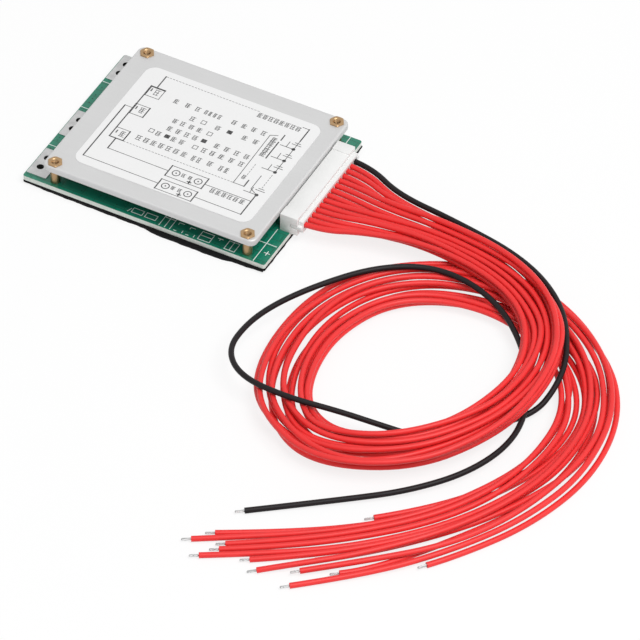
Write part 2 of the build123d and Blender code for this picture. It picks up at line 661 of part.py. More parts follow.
for number, route in enumerate(routes[:-1], start=1):
    nodes[f"sense_wire_{number:02d}"] = [wire(route)]
nodes["pack_negative_wire"] = [wire(routes[-1])]

os.makedirs("parts", exist_ok=True)
for name, solids in nodes.items():
    shape = solids[0] if len(solids) == 1 else Compound(children=solids)
    export_step(shape, f"parts/{name}.step")
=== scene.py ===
"""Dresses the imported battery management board: finishes, label, board print, nuts and harness."""

import math

import bmesh
import bpy
from bpy.props import FloatProperty, FloatVectorProperty, PointerProperty
from bpy.types import Operator, Panel, PropertyGroup
from mathutils import Matrix, Vector


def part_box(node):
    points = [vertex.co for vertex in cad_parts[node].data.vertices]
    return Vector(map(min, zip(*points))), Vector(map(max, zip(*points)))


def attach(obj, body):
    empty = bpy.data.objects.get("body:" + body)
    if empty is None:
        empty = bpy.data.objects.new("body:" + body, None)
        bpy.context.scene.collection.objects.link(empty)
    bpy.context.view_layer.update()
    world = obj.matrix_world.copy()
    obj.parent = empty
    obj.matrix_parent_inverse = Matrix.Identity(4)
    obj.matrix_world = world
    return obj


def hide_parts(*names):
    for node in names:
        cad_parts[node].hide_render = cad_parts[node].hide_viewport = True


bl_info = {
    "name": "Battery management board",
    "version": (1, 0, 0),
    "blender": (4, 5, 0),
    "location": "View3D > Sidebar > Board",
    "description": "Finishes, prints and lays the harness of a battery management board",
    "category": "Object",
}

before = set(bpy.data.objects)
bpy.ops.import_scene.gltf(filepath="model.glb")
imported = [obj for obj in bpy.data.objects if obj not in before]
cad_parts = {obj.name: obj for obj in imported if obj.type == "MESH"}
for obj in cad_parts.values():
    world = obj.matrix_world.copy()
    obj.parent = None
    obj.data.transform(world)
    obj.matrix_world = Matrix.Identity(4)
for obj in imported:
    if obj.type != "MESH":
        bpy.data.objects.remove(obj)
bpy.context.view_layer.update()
MM = 0.001
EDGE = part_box("circuit_board")[1]
BOARD_TOP = EDGE.z
LABEL_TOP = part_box("plate_label")[1].z
NUT_LOW, NUT_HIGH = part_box("barrel_nuts")
PLUG_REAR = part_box("plug_housing")[1].x
SHEET_LOW, SHEET_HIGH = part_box("insulating_sheet")
NO_TURN = (0.0, 0.0, 0.0)
WHOLE = (1.0, 1.0, 1.0)


def linear(red, green, blue):
    """A colour given in the usual 0 to 255 steps, as light."""
    return tuple(
        v / 12.92 if v <= 0.04045 else ((v + 0.055) / 1.055) ** 2.4
        for v in (red / 255, green / 255, blue / 255)
    )


def colour(name, description, *rgb):
    """A colour that a user may change."""
    return FloatVectorProperty(
        name=name,
        description=description,
        subtype="COLOR",
        min=0.0,
        max=1.0,
        default=linear(*rgb),
    )


def length(name, description, millimetres):
    """A length that a user may change."""
    return FloatProperty(
        name=name,
        description=description,
        subtype="DISTANCE",
        unit="LENGTH",
        precision=5,
        min=0.0,
        default=millimetres * MM,
    )


class BoardColours(PropertyGroup):
    resist: colour("Resist", "Green solder resist over the copper", 12, 119, 94)
    bare: colour("Resist gaps", "Resist over bare laminate", 9, 84, 62)
    cut_edge: colour("Cut edge", "Sawn edge of the laminate", 222, 229, 222)
    sheet: colour("Sheet", "Insulating sheet under the board", 12, 12, 13)
    aluminium: colour("Aluminium", "Blasted heat plate", 209, 209, 209)
    paper: colour("Label", "Label stock", 238, 238, 238)
    ink: colour("Ink", "Print on the label", 22, 22, 24)
    legend: colour("Legend", "White print on the board", 240, 245, 242)
    brass: colour("Brass", "Turned barrel nuts", 184, 152, 114)
    tin: colour("Tin", "Tinned pads, pins and wire ends", 198, 198, 198)
    nylon: colour("Nylon", "Moulded connector", 235, 235, 234)
    moulding: colour("Moulding", "Transistor and chip bodies", 30, 30, 32)
    sense_wire: colour("Sense wire", "Red insulation", 235, 50, 50)
    pack_wire: colour("Pack wire", "Black insulation", 29, 25, 27)


class HarnessSizes(PropertyGroup):
    diameter: length("Wire diameter", "Outside of the insulation", 1.8)
    first_bend: length("Straight lead", "Straight run out of the plug", 5.5)
    floor: length("Floor height", "Middle of a wire that lies on the floor", 0.95)
    tip: length("Stripped length", "Bare strands past the insulation", 3.0)
    tip_width: length("Strand bundle", "Width of the twisted strands", 0.8)


class PrintSizes(PropertyGroup):
    film: length("Ink height", "How far print stands over its ground", 0.02)
    fine: length("Fine line", "Width of a thin printed line", 0.2)
    bold: length("Bold line", "Width of a thick printed line", 0.4)
    legend: length("Legend line", "Width of a white line on the board", 0.24)
    via: length("Via", "Width of a plated via", 0.62)


class StageSettings(PropertyGroup):
    lens: FloatProperty(name="Lens", description="Focal length", unit="CAMERA", default=337.6)
    distance: length("Distance", "Camera to board", 1847.9)
    key: FloatProperty(name="Key lamp", description="Power of the main lamp", unit="POWER", default=27.0)
    sky: FloatProperty(name="Sky", description="Light from all round", min=0.0, default=0.45)


class Value:
    """A number, colour or shader that a node of a tree gives."""

    def __init__(self, nodes, socket):
        self.nodes = nodes
        self.socket = socket

    def maths(self, operation, first, second):
        return self.nodes.add("ShaderNodeMath", {"operation": operation}, {0: first, 1: second})

    def __add__(self, other):
        return self.maths("ADD", self, other)

    def __sub__(self, other):
        return self.maths("SUBTRACT", self, other)

    def __rsub__(self, other):
        return self.maths("SUBTRACT", other, self)

    def __mul__(self, other):
        return self.maths("MULTIPLY", self, other)

    def __gt__(self, other):
        return self.maths("GREATER_THAN", self, other)

    def __abs__(self):
        return self.maths("ABSOLUTE", self, 0.0)

    __radd__ = __add__
    __rmul__ = __mul__


def opaque(value):
    """A colour with its alpha added, and any other value as it is."""
    return (*value, 1.0) if isinstance(value, tuple) and len(value) == 3 else value


class Nodes:
    """A node tree whose nodes are added by type, settings and inputs."""

    def __init__(self, tree):
        self.tree = tree

    def add(self, kind, settings=None, inputs=None, output=0):
        node = self.tree.nodes.new(kind)
        for key, setting in (settings or {}).items():
            if key == "stops":
                for element, (spot, level) in zip(node.color_ramp.elements, setting):
                    element.position = spot
                    element.color = (level, level, level, 1.0)
            else:
                setattr(node, key, setting)
        for key, value in (inputs or {}).items():
            self.feed(node.inputs[key], value)
        return Value(self, node.outputs[output])

    def feed(self, socket, value):
        if isinstance(value, Value):
            self.tree.links.new(value.socket, socket)
        else:
            socket.default_value = value

    def shown(self):
        """One for light that meets the eye straight, by gloss or through glass, and nought for the rest."""
        eye, gloss, glass = (
            self.add("ShaderNodeLightPath", output=ray)
            for ray in ("Is Camera Ray", "Is Glossy Ray", "Is Transmission Ray")
        )
        return eye.maths("MAXIMUM", eye, gloss.maths("MAXIMUM", gloss, glass))

    def blend(self, factor, first, second):
        """One shader, turning into another as the factor rises."""
        return self.add("ShaderNodeMixShader", None, {"Fac": factor, 1: first, 2: second})


class Finish(Nodes):
    """A material with its surface shader and the place on the piece."""

    def __init__(self, name):
        self.material = bpy.data.materials.new(name)
        self.material.use_nodes = True
        super().__init__(self.material.node_tree)
        self.surface = self.tree.nodes["Principled BSDF"]
        self.place = self.add("ShaderNodeTexCoord", output="Object")

    def set(self, **sockets):
        for key, value in sockets.items():
            self.feed(self.surface.inputs[key.replace("_", " ")], opaque(value))
        return self

    def axis(self, vector, name):
        """One axis of a vector."""
        return self.add("ShaderNodeSeparateXYZ", None, {"Vector": vector}, name)

    def stretched(self, x, y, z):
        """The place on the piece, scaled along each axis."""
        inputs = {"Vector": self.place, "Scale": (x, y, z)}
        return self.add("ShaderNodeMapping", {"vector_type": "POINT"}, inputs)

    def noise(self, size, detail=3.0, roughness=0.5, vector=None):
        """Cloudy variation with features about as large as the size in millimetres."""
        inputs = {
            "Vector": vector or self.place,
            "Scale": 1.0 / (size * MM),
            "Detail": detail,
            "Roughness": roughness,
        }
        return self.add("ShaderNodeTexNoise", None, inputs)

    def ramp(self, value, low, high):
        """Nought below the low level and one above the high level."""
        stops = ((low, 0.0), (high, 1.0))
        return self.add("ShaderNodeValToRGB", {"stops": stops}, {"Fac": value})

    def mix(self, factor, first, second):
        """One colour, turning into another as the factor rises."""
        inputs = {0: factor, 6: opaque(first), 7: opaque(second)}
        return self.add("ShaderNodeMix", {"data_type": "RGBA"}, inputs, 2)

    def tint(self, factor, rgb, dark, light):
        """A colour that goes from a darker shade to a lighter one as the factor rises."""
        return self.mix(factor, shade(rgb, dark), shade(rgb, light))

    def bump(self, height, depth):
        """Unevenness whose full height is the depth in millimetres."""
        inputs = {"Strength": 1.0, "Distance": depth * MM, "Height": height}
        return self.set(Normal=self.add("ShaderNodeBump", None, inputs))


def shade(rgb, factor):
    """A colour made darker or lighter."""
    return tuple(min(1.0, c * factor) for c in rgb)


# Share of its normal that points up or down on a flat face, and the sawn edge's depth in millimetres.
FLAT_FACE = 0.6
RIM_DEPTH = 0.9


def make_resist(paint):
    """Green resist over copper areas and gaps, with the pale laminate on the sawn edge and painted shade on
    the hole bores.
    """
    f = Finish("green_resist")
    facing = f.add("ShaderNodeNewGeometry", None, None, "True Normal")
    flat = abs(f.axis(facing, "Z")) > FLAT_FACE
    past_x = abs(f.axis(f.place, "X")) > EDGE.x - RIM_DEPTH * MM
    past_y = abs(f.axis(f.place, "Y")) > EDGE.y - RIM_DEPTH * MM
    rim = past_x.maths("MAXIMUM", past_x, past_y)
    areas = {
        "Vector": f.place,
        "Scale": 1.0,
        "Mortar Size": 0.16 * MM,
        "Mortar Smooth": 0.1,
        "Brick Width": 7.3 * MM,
        "Row Height": 3.4 * MM,
    }
    gaps = f.add("ShaderNodeTexBrick", {"offset": 0.37, "offset_frequency": 2}, areas, "Fac")
    cloud = f.noise(2.2, 2.0)
    green = f.tint(cloud, paint.resist, 0.88, 1.14)
    green = f.mix(gaps * 0.7, green, tuple(paint.bare))
    weave = f.noise(0.5, 4.0, 0.6, f.stretched(0.35, 0.35, 4.0))
    chips = f.ramp(f.noise(1.6, 3.0, 0.6), 0.56, 0.66)
    edge = f.tint(weave, paint.cut_edge, 0.74, 1.1)
    edge = f.mix(chips * 0.6, edge, linear(236, 238, 232))
    # Side faces off the sawn edge are the hole bores: near-black, their tinned wall with painted shade of
    # the deep hole.
    edge = f.mix(rim, linear(34, 36, 34), edge)
    f.set(
        Base_Color=f.mix(flat, edge, green),
        Roughness=0.78 - flat * 0.46 + cloud * 0.08,
        Coat_Weight=flat * 0.25,
    )
    return f.bump((1 - gaps) * flat + weave * (1 - flat) * 1.5, 0.03)


def make_aluminium(paint):
    """Blasted aluminium: a fine even grain with faint rolling lines."""
    f = Finish("blasted_aluminium")
    grain = f.noise(0.22, 2.0)
    lines = f.noise(0.9, 4.0, 0.6, f.stretched(0.05, 1.0, 1.0))
    cloud = f.noise(14.0, 2.0)
    tone = grain * 0.35 + lines * 0.3 + cloud * 0.35
    f.set(
        Base_Color=f.tint(tone, paint.aluminium, 0.9, 1.08),
        Metallic=0.45,
        Roughness=0.46 + tone * 0.16,
    )
    return f.bump(grain + lines * 0.5, 0.012)


def make_label(paint):
    """Smooth white label film with a faint fibre."""
    f = Finish("label_film")
    fibre = f.noise(0.6, 4.0, 0.6)
    cloud = f.noise(9.0, 2.0)
    f.set(
        Base_Color=f.tint(fibre * 0.5 + cloud * 0.5, paint.paper, 0.965, 1.03),
        Roughness=0.42 + fibre * 0.12,
    )
    return f.bump(fibre, 0.006)


def make_print_and_shade(name, ink, ground, wear):
    """A printed film that is a little thin in places, also used for the painted shade in the vias' holes."""
    f = Finish(name)
    thin = f.ramp(f.noise(0.35, 3.0, 0.7), 0.46, 0.72)
    return f.set(Base_Color=f.mix(thin * wear, tuple(ink), tuple(ground)), Roughness=0.5 + thin * 0.2)


def make_brass(paint):
    """Turned brass with tool rings and a little tarnish."""
    f = Finish("turned_brass")
    rings = f.noise(0.16, 2.0, 0.5, f.stretched(0.2, 0.2, 1.6))
    tarnish = f.noise(1.3, 3.0, 0.6)
    f.set(
        Base_Color=f.tint(tarnish, paint.brass, 0.72, 1.06),
        Metallic=1.0,
        Roughness=0.3 + tarnish * 0.12,
    )
    return f.bump(rings, 0.006)


def make_tin(paint):
    """Hot-tinned metal: blotchy, soft-edged pools with bright rims."""
    f = Finish("hot_tin")
    pools = f.noise(2.4, 3.0, 0.55)
    specks = f.ramp(f.noise(0.5, 3.0, 0.6), 0.5, 0.7)
    f.set(
        Base_Color=f.tint(pools, paint.tin, 0.7, 1.16),
        Metallic=0.9,
        Roughness=0.26 + pools * 0.22 + specks * 0.12,
    )
    return f.bump(pools * 1.4 + specks * 0.2, 0.1)


def make_nylon(paint):
    """White moulded nylon with a soft sheen."""
    f = Finish("moulded_nylon")
    grain = f.noise(0.3, 3.0)
    cloud = f.noise(5.0, 2.0)
    f.set(Base_Color=f.tint(cloud, paint.nylon, 0.95, 1.03), Roughness=0.36 + grain * 0.14)
    return f.bump(grain, 0.008)


def make_insulation(name, rgb, gloss):
    """Extruded wire insulation: smooth, with dull patches."""
    f = Finish(name)
    cloud = f.noise(6.0, 3.0)
    grain = f.noise(0.25, 3.0)
    f.set(
        Base_Color=f.tint(cloud, rgb, 0.9, 1.06),
        Roughness=0.36 + cloud * 0.16,
        Specular_IOR_Level=gloss,
    )
    return f.bump(grain + cloud, 0.012)


def make_moulding(paint):
    """Black moulding compound with a fine matt grain."""
    f = Finish("moulding_compound")
    grain = f.noise(0.12, 3.0, 0.6)
    cloud = f.noise(3.0)
    f.set(Base_Color=f.tint(cloud, paint.moulding, 0.7, 1.6), Roughness=0.5 + grain * 0.2)
    return f.bump(grain, 0.015)


def make_sheet(paint):
    """Black insulating sheet with a felted, slightly ragged surface."""
    f = Finish("insulating_felt")
    fibre = f.noise(0.45, 5.0, 0.65, f.stretched(0.4, 0.4, 1.4))
    lumps = f.noise(3.0, 3.0)
    f.set(
        Base_Color=f.tint(f.ramp(fibre, 0.45, 0.8), paint.sheet, 0.7, 2.2),
        Roughness=0.72 + fibre * 0.2,
        Specular_IOR_Level=0.15,
    )
    return f.bump(fibre + lumps * 1.5, 0.09)


def make_grained(name, grain, dark, light, roughness, depth, metallic=0.0):
    """A plain finish of one grain, with its two colours, its least and added roughness, and its depth."""
    f = Finish(name)
    spread = f.noise(*grain)
    least, added = roughness
    f.set(
        Base_Color=f.mix(spread, linear(*dark), linear(*light)),
        Metallic=metallic,
        Roughness=least + spread * added,
    )
    return f.bump(spread, depth)


# Soft grey filled silicone, fired tan ceramic and plated steel, as make_grained takes them.
GAP_PAD = ("gap_pad", (0.2, 4.0, 0.7), (128, 134, 140), (166, 170, 174), (0.7, 0.2), 0.02)
CERAMIC = ("chip_ceramic", (0.6,), (150, 118, 86), (190, 158, 120), (0.4, 0.2), 0.01)
STEEL = ("plated_steel", (0.8, 3.0), (150, 150, 152), (196, 196, 196), (0.24, 0.16), 0.01, 1.0)
# The floor's darkest and palest white, and how much plain white the eye sees in place of the lit floor.
FLOOR_WHITE = (0.92, 0.95)
FLOOR_GLOW = 0.82


def make_floor():
    """White floor that keeps the shadow and shows white to the eye."""
    f = Finish("white_floor")
    f.set(Base_Color=f.tint(f.noise(40.0, 2.0), WHOLE, *FLOOR_WHITE), Roughness=0.9)
    lit = Value(f, f.surface.outputs[0])
    glow = f.add("ShaderNodeEmission", None, {"Strength": 1.0})
    f.feed(f.tree.nodes["Material Output"].inputs["Surface"], f.blend(f.shown() * FLOOR_GLOW, lit, glow))
    return f


FINISHES = {
    "resist": make_resist,
    "aluminium": make_aluminium,
    "label": make_label,
    "brass": make_brass,
    "tin": make_tin,
    "nylon": make_nylon,
    "moulding": make_moulding,
    "sheet": make_sheet,
    "gap_pad": lambda paint: make_grained(*GAP_PAD),
    "ceramic": lambda paint: make_grained(*CERAMIC),
    "steel": lambda paint: make_grained(*STEEL),
    "floor": lambda paint: make_floor(),
    "ink": lambda paint: make_print_and_shade("label_ink", paint.ink, paint.paper, 0.25),
    "legend": lambda paint: make_print_and_shade("board_legend", paint.legend, paint.resist, 0.2),
    # The vias' holes are a dark disc of painted shade, not an opening.
    "hole": lambda paint: make_print_and_shade("via_hole", linear(8, 20, 16), paint.bare, 0.2),
    "sense_wire": lambda paint: make_insulation("red_insulation", paint.sense_wire, 0.4),
    "pack_wire": lambda paint: make_insulation("black_insulation", paint.pack_wire, 0.18),
}
made = {}


def finish(context, name):
    """The material of that name, made once."""
    if name not in made:
        made[name] = FINISHES[name](context.scene.board_colours).material
    return made[name]


def dress(context, name, *nodes):
    """Gives CAD nodes their finish."""
    for node in nodes:
        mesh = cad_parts[node].data
        mesh.materials.clear()
        mesh.materials.append(finish(context, name))


def link_object(name, data):
    """An object in the scene, at the origin."""
    linked = bpy.data.objects.new(name, data)
    bpy.context.scene.collection.objects.link(linked)
    return linked


def declare(piece, slot, *replaced):
    """Rides a finished piece on the part and hides the nodes it stands for. Its material slot is not used.
    """
    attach(piece, "root")
    if replaced:
        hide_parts(*replaced)
    return piece


def add_piece(name, data, slot, *replaced):
    """A piece that its data finishes."""
    return declare(link_object(name, data), slot, *replaced)


def mesh_of(shell, name, material):
    """A mesh of that shell and material, which ends the shell."""
    mesh = bpy.data.meshes.new(name)
    shell.to_mesh(mesh)
    shell.free()
    mesh.materials.append(material)
    return mesh


def mesh_from(name, build, material):
    """A mesh that the build function fills."""
    shell = bmesh.new()
    build(shell)
    bmesh.ops.recalc_face_normals(shell, faces=shell.faces)
    return mesh_of(shell, name, material)


def bake(piece):
    """Turns a piece's modifiers into a plain mesh."""
    bpy.context.view_layer.update()
    evaluated = piece.evaluated_get(bpy.context.evaluated_depsgraph_get())
    mesh = bpy.data.meshes.new_from_object(evaluated)
    piece.modifiers.clear()
    piece.data = mesh


def smooth(piece, degrees):
    """Smooth shading, apart from edges that turn by more than so many degrees."""
    piece.data.shade_smooth()
    piece.data.set_sharp_from_angle(angle=math.radians(degrees))


# Distance at which the corners of loose triangles are one, in metres, and angles in radians and degrees.
MERGE_DISTANCE = 1e-6
COPLANAR = 0.02
EASED_ANGLE = 40
EASED_SHARP = 50


def softened(context, node, name, width, finish_name, slot):
    """A copy of a CAD node with its sharp edges eased, which stands for it."""
    shell = bmesh.new()
    shell.from_mesh(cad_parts[node].data)
    bmesh.ops.remove_doubles(shell, verts=shell.verts, dist=MERGE_DISTANCE)
    bmesh.ops.dissolve_limit(shell, angle_limit=COPLANAR, verts=shell.verts, edges=shell.edges)
    piece = link_object(name, mesh_of(shell, name, finish(context, finish_name)))
    ease = piece.modifiers.new("Eased edges", "BEVEL")
    ease.width = width * MM
    ease.segments = 2
    ease.limit_method = "ANGLE"
    ease.angle_limit = math.radians(EASED_ANGLE)
    ease.use_clamp_overlap = True
    bake(piece)
    smooth(piece, EASED_SHARP)
    declare(piece, slot, node)


def copies_tree():
    """A node tree that puts a shape on every mark, turned and stretched as the mark says."""
    tree = bpy.data.node_groups.new("Copies on marks", "GeometryNodeTree")
    sockets = {"Marks": "Geometry", "Shape": "Object", "Size": "Float", "Finish": "Material"}
    for name, kind in sockets.items():
        tree.interface.new_socket(name, in_out="INPUT", socket_type="NodeSocket" + kind)
    tree.interface.new_socket("Copies", in_out="OUTPUT", socket_type="NodeSocketGeometry")

    def node(kind, **settings):
        new_node = tree.nodes.new(kind)
        for key, setting in settings.items():
            setattr(new_node, key, setting)
        return new_node

    def attribute(name):
        reader = node("GeometryNodeInputNamedAttribute", data_type="FLOAT_VECTOR")
        reader.inputs["Name"].default_value = name
        return reader.outputs["Attribute"]

    entry = node("NodeGroupInput")
    shape = node("GeometryNodeObjectInfo", transform_space="ORIGINAL")
    rotation = node("FunctionNodeEulerToRotation")
    scale = node("ShaderNodeVectorMath", operation="SCALE")
    place = node("GeometryNodeInstanceOnPoints")
    realize = node("GeometryNodeRealizeInstances")
    paint = node("GeometryNodeSetMaterial")
    leave = node("NodeGroupOutput")
    for start, end in (
        (entry.outputs["Marks"], place.inputs["Points"]),
        (entry.outputs["Shape"], shape.inputs["Object"]),
        (shape.outputs["Geometry"], place.inputs["Instance"]),
        (attribute("turn"), rotation.inputs["Euler"]),
        (rotation.outputs["Rotation"], place.inputs["Rotation"]),
        (attribute("stretch"), scale.inputs[0]),
        (entry.outputs["Size"], scale.inputs["Scale"]),
        (scale.outputs["Vector"], place.inputs["Scale"]),
        (place.outputs["Instances"], realize.inputs["Geometry"]),
        (realize.outputs["Geometry"], paint.inputs["Geometry"]),
        (entry.outputs["Finish"], paint.inputs["Material"]),
        (paint.outputs["Geometry"], leave.inputs["Copies"]),
    ):
        tree.links.new(start, end)
    return tree


def copies(name, build, marks, material, slot, *replaced, size=1.0):
    """A piece made of copies of a built shape, one on each mark of place, turn and stretch."""
    points = bpy.data.meshes.new(name + "_marks")
    points.from_pydata([mark[0] for mark in marks], [], [])
    for attribute, column in (("turn", 1), ("stretch", 2)):
        layer = points.attributes.new(attribute, "FLOAT_VECTOR", "POINT")
        for item, mark in zip(layer.data, marks):
            item.vector = mark[column]
    pattern = link_object(name + "_shape", mesh_from(name + "_shape", build, material))
    piece = link_object(name, points)
    modifier = piece.modifiers.new("Copies", "NODES")
    modifier.node_group = bpy.data.node_groups.get("Copies on marks") or copies_tree()
    inputs = {
        item.name: item.identifier
        for item in modifier.node_group.interface.items_tree
        if item.in_out == "INPUT"
    }
    modifier[inputs["Shape"]] = pattern
    modifier[inputs["Size"]] = size
    modifier[inputs["Finish"]] = material
    bake(piece)
    bpy.data.objects.remove(pattern)
    return declare(piece, slot, *replaced)


def plain_mark(x, y, z):
    """A mark whose copy is neither turned nor stretched."""
    return (Vector((x, y, z)), NO_TURN, WHOLE)


def circle_of(centre, radius, steps):
    """Corners on a level circle about a centre."""
    angles = [2 * math.pi * i / steps for i in range(steps)]
    x, y, z = centre
    return [(x + radius * math.cos(t), y + radius * math.sin(t), z) for t in angles]


def add_skin(shell, outlines, closed=False):
    """Faces from each outline of corners to the next, and then back to the first or over both ends."""
    loops = [[shell.verts.new(corner) for corner in outline] for outline in outlines]
    for first, second in zip(loops, loops[1:] + loops[:1] if closed else loops[1:]):
        for i, corner in enumerate(first):
            j = (i + 1) % len(first)
            shell.faces.new((corner, first[j], second[j], second[i]))
    if not closed:
        shell.faces.new(loops[0][::-1])
        shell.faces.new(loops[-1])


def add_stroke(shell, line, width, bottom, height):
    """A flat printed stroke along a line in millimetres, with the other sizes in metres."""
    x0, y0, x1, y1 = (value * MM for value in line)
    a, b = Vector((x0, y0, bottom)), Vector((x1, y1, bottom))
    along = (b - a).normalized() * width / 2
    across = Vector((-along.y, along.x, 0))
    low = (a - along - across, b + along - across, b + along + across, a - along + across)
    add_skin(shell, (low, [(c.x, c.y, bottom + height) for c in low]))


# Each printed stroke is thicker than the last by this share of the film, so that crossings share no face.
PRINT_STEP = 0.02


def add_strokes(shell, lines, bottom, film):
    """Printed strokes along lines that each have a width."""
    for order, (line, width) in enumerate(lines):
        add_stroke(shell, line, width, bottom, film * (1 + order * PRINT_STEP))


def add_ring(shell, centre, outer, inner, bottom, height, steps):
    """A flat printed ring, or a disc where the inner radius is nought."""
    top = bottom + height
    sides = [(outer, bottom), (outer, top)]
    if inner:
        sides += [(inner, top), (inner, bottom)]
    add_skin(shell, [circle_of((*centre, z), radius, steps) for radius, z in sides], closed=bool(inner))


def rectangle(x0, y0, x1, y1):
    """The four sides of a printed box."""
    return [(x0, y0, x1, y0), (x1, y0, x1, y1), (x1, y1, x0, y1), (x0, y1, x0, y0)]


# The label's wiring drawing, in millimetres: bold lines, fine lines, broken lines and rings.
LABEL_BOLD = [
    (-23.2, 15.5, -18.2, 15.5),
    (-23.2, 15.3, -18.2, 15.3),
    (-23.2, 10.9, -23.2, 15.5),
    (-23.0, 10.9, -23.0, 15.5),
    (-23.2, 6.1, -23.2, 10.9),
    (-23.3, 1.3, -23.3, 6.1),
    (-23.1, 1.3, -23.1, 6.1),
    (-23.3, -10.9, -23.3, 1.3),
    (-18.4, 1.3, -18.4, 6.1),
    (-18.5, -10.9, -18.5, -6.2),
    (-23.3, -10.9, -18.5, -10.9),
    (29.2, 15.0, 29.2, 21.0),
    (28.9, -22.8, 28.9, -13.0),
    (23.8, 15.1, 23.8, 12.6),
    (23.6, 11.4, 23.6, 3.2),
    (23.8, -8.2, 23.8, -11.3),
    (0.3, -18.5, 0.3, -13.5),
    (12.9, -18.5, 12.9, -13.5),
    (0.3, -25.0, 0.3, -20.3),
    (12.8, -25.0, 12.8, -20.3),
    (-21.2, 15.5, -21.2, 21.4),
    (-26.0, -22.4, -26.0, 3.8),
    (-21.0, -16.0, -21.0, -10.9),
    (-22.2, 13.4, -22.2, 14.4),
    (-22.3, 3.9, -22.3, 4.9),
    (-22.3, -8.5, -22.3, -7.5),
]
LABEL_FINE = [
    (-18.2, 10.9, -18.2, 15.5),
    (-23.2, 10.9, -18.2, 10.9),
    (-23.2, 6.1, -18.4, 6.1),
    (-23.2, 1.3, -18.4, 1.3),
    (-23.3, -6.2, -18.5, -6.2),
    (-26.0, 3.8, -23.3, 3.8),
    (-26.0, -22.4, 0.3, -22.6),
    (-21.0, -16.0, 0.3, -16.2),
    (0.3, -13.5, 12.9, -13.5),
    (0.3, -18.5, 12.9, -18.5),
    (0.3, -20.3, 12.8, -20.3),
    (0.3, -25.0, 12.8, -25.0),
    (12.9, -16.2, 28.9, -16.2),
    (12.8, -22.7, 28.9, -22.8),
    (27.0, 21.0, 29.2, 21.0),
    (19.8, 13.0, 20.1, -7.4),
    (20.1, -7.4, 20.1, -11.3),
    (20.1, -11.3, 23.8, -11.3),
    (19.8, 13.0, 22.0, 14.0),
    (29.2, 15.0, 29.1, -1.2),
    (26.2, -11.2, 26.2, -4.6),
    (26.2, -11.2, 29.0, -12.9),
]
for tap in (10.7, 4.7, -1.2, -12.9):
    LABEL_FINE += [
        (24.6, tap, 29.0, tap),
        (27.6, tap + 2.1, 30.6, tap + 2.1),
        (28.2, tap + 3.0, 30.0, tap + 3.0),
        (26.6, tap, 26.6, tap + 2.6),
    ]
LABEL_BROKEN = [
    (-21.2, 21.4, 12.0, 21.0),
    (-18.5, -11.0, 20.1, -11.3),
    (29.0, -2.4, 29.0, -9.6),
    (22.2, -0.6, 22.2, -6.4),
]
LABEL_RINGS = [(2.9, -16.0), (10.6, -16.1), (2.8, -22.6), (10.5, -22.6)]
LABEL_DOTS = [(29.1, 10.7), (29.1, 4.7), (29.1, -1.2), (29.0, -12.9)]
LABEL_FILLED = [(8.3, 8.2), (3.3, 0.9), (-7.6, -2.7)]
LABEL_OPEN = [(-0.8, 8.3), (3.3, 4.6), (2.3, -2.9), (-13.1, -2.6)]
LABEL_PLUSES = [(8.3, -17.7), (8.2, -24.1)]
# Rows of dummy text: y, height, width of a sign, then the places along x.
LABEL_ROWS = [
    (12.8, 1.7, 1.5, (-12.9, -8.8, -5.3, 7.4, 10.9, 14.3, 17.7)),
    (12.8, 1.7, 1.0, (-2.4, -0.9, 0.7, 2.3)),
    (8.1, 1.7, 1.6, (-4.6, 4.2, 13.6, 17.4)),
    (4.6, 1.7, 1.5, (-8.8, -6.1, -3.1, -0.3)),
    (0.8, 1.8, 1.6, (-8.6, -5.6, -2.6, 0.2, 7.9, 11.3, 14.8, 18.2)),
    (-2.9, 1.8, 1.6, (-10.6, -5.2, -2.4, 5.4, 8.3, 11.4, 14.9, 18.3)),
    (-7.4, 1.9, 1.7, (-14.9, -12.3, -9.7, -7.1, -4.5, -1.9, 0.9, 9.9)),
    (-7.6, 2.1, 1.2, (4.3, 6.2, 13.8, 15.8)),
    (19.6, 1.8, 1.5, (12.8, 14.7, 16.6, 18.5, 20.4, 22.3, 24.2, 26.1)),
    (-17.7, 1.7, 1.5, (16.4, 18.4, 20.4, 22.4, 24.4, 26.6)),
    (-15.9, 1.3, 1.2, (5.4, 7.7)),
    (-22.4, 1.3, 1.2, (5.3, 7.6)),
    *[(4.2 + 1.9 * i, 1.6, 1.7, (21.9,)) for i in range(5)],
    (-7.6, 1.6, 1.2, (21.8,)),
    *[(y, 2.3, 1.7, (-20.1,)) for y in (13.4, 4.0, -8.4)],
]
# Shapes printed on the label, in millimetres, and the parts of a dummy sign.
RING_OUTER = 1.35
RING_INNER = 1.05
RING_SIDES = 28
RING_DOT = 0.28
RING_DOT_SIDES = 12
NODE_DOT = 0.62
NODE_DOT_SIDES = 16
PLUS_ARM = 0.6
OPEN_HALF = 0.75
FILLED_SIZE = (1.7, 1.6)
DASH_PITCH = 1.1
DASH_SIZE = (0.75, 0.16)
SIGN_STROKE = 0.2
SIGN_REACHES = (1.1, 0.7, 1.0, 0.8)
SIGN_STEM = -0.38
SIGN_SHIFT = 0.08


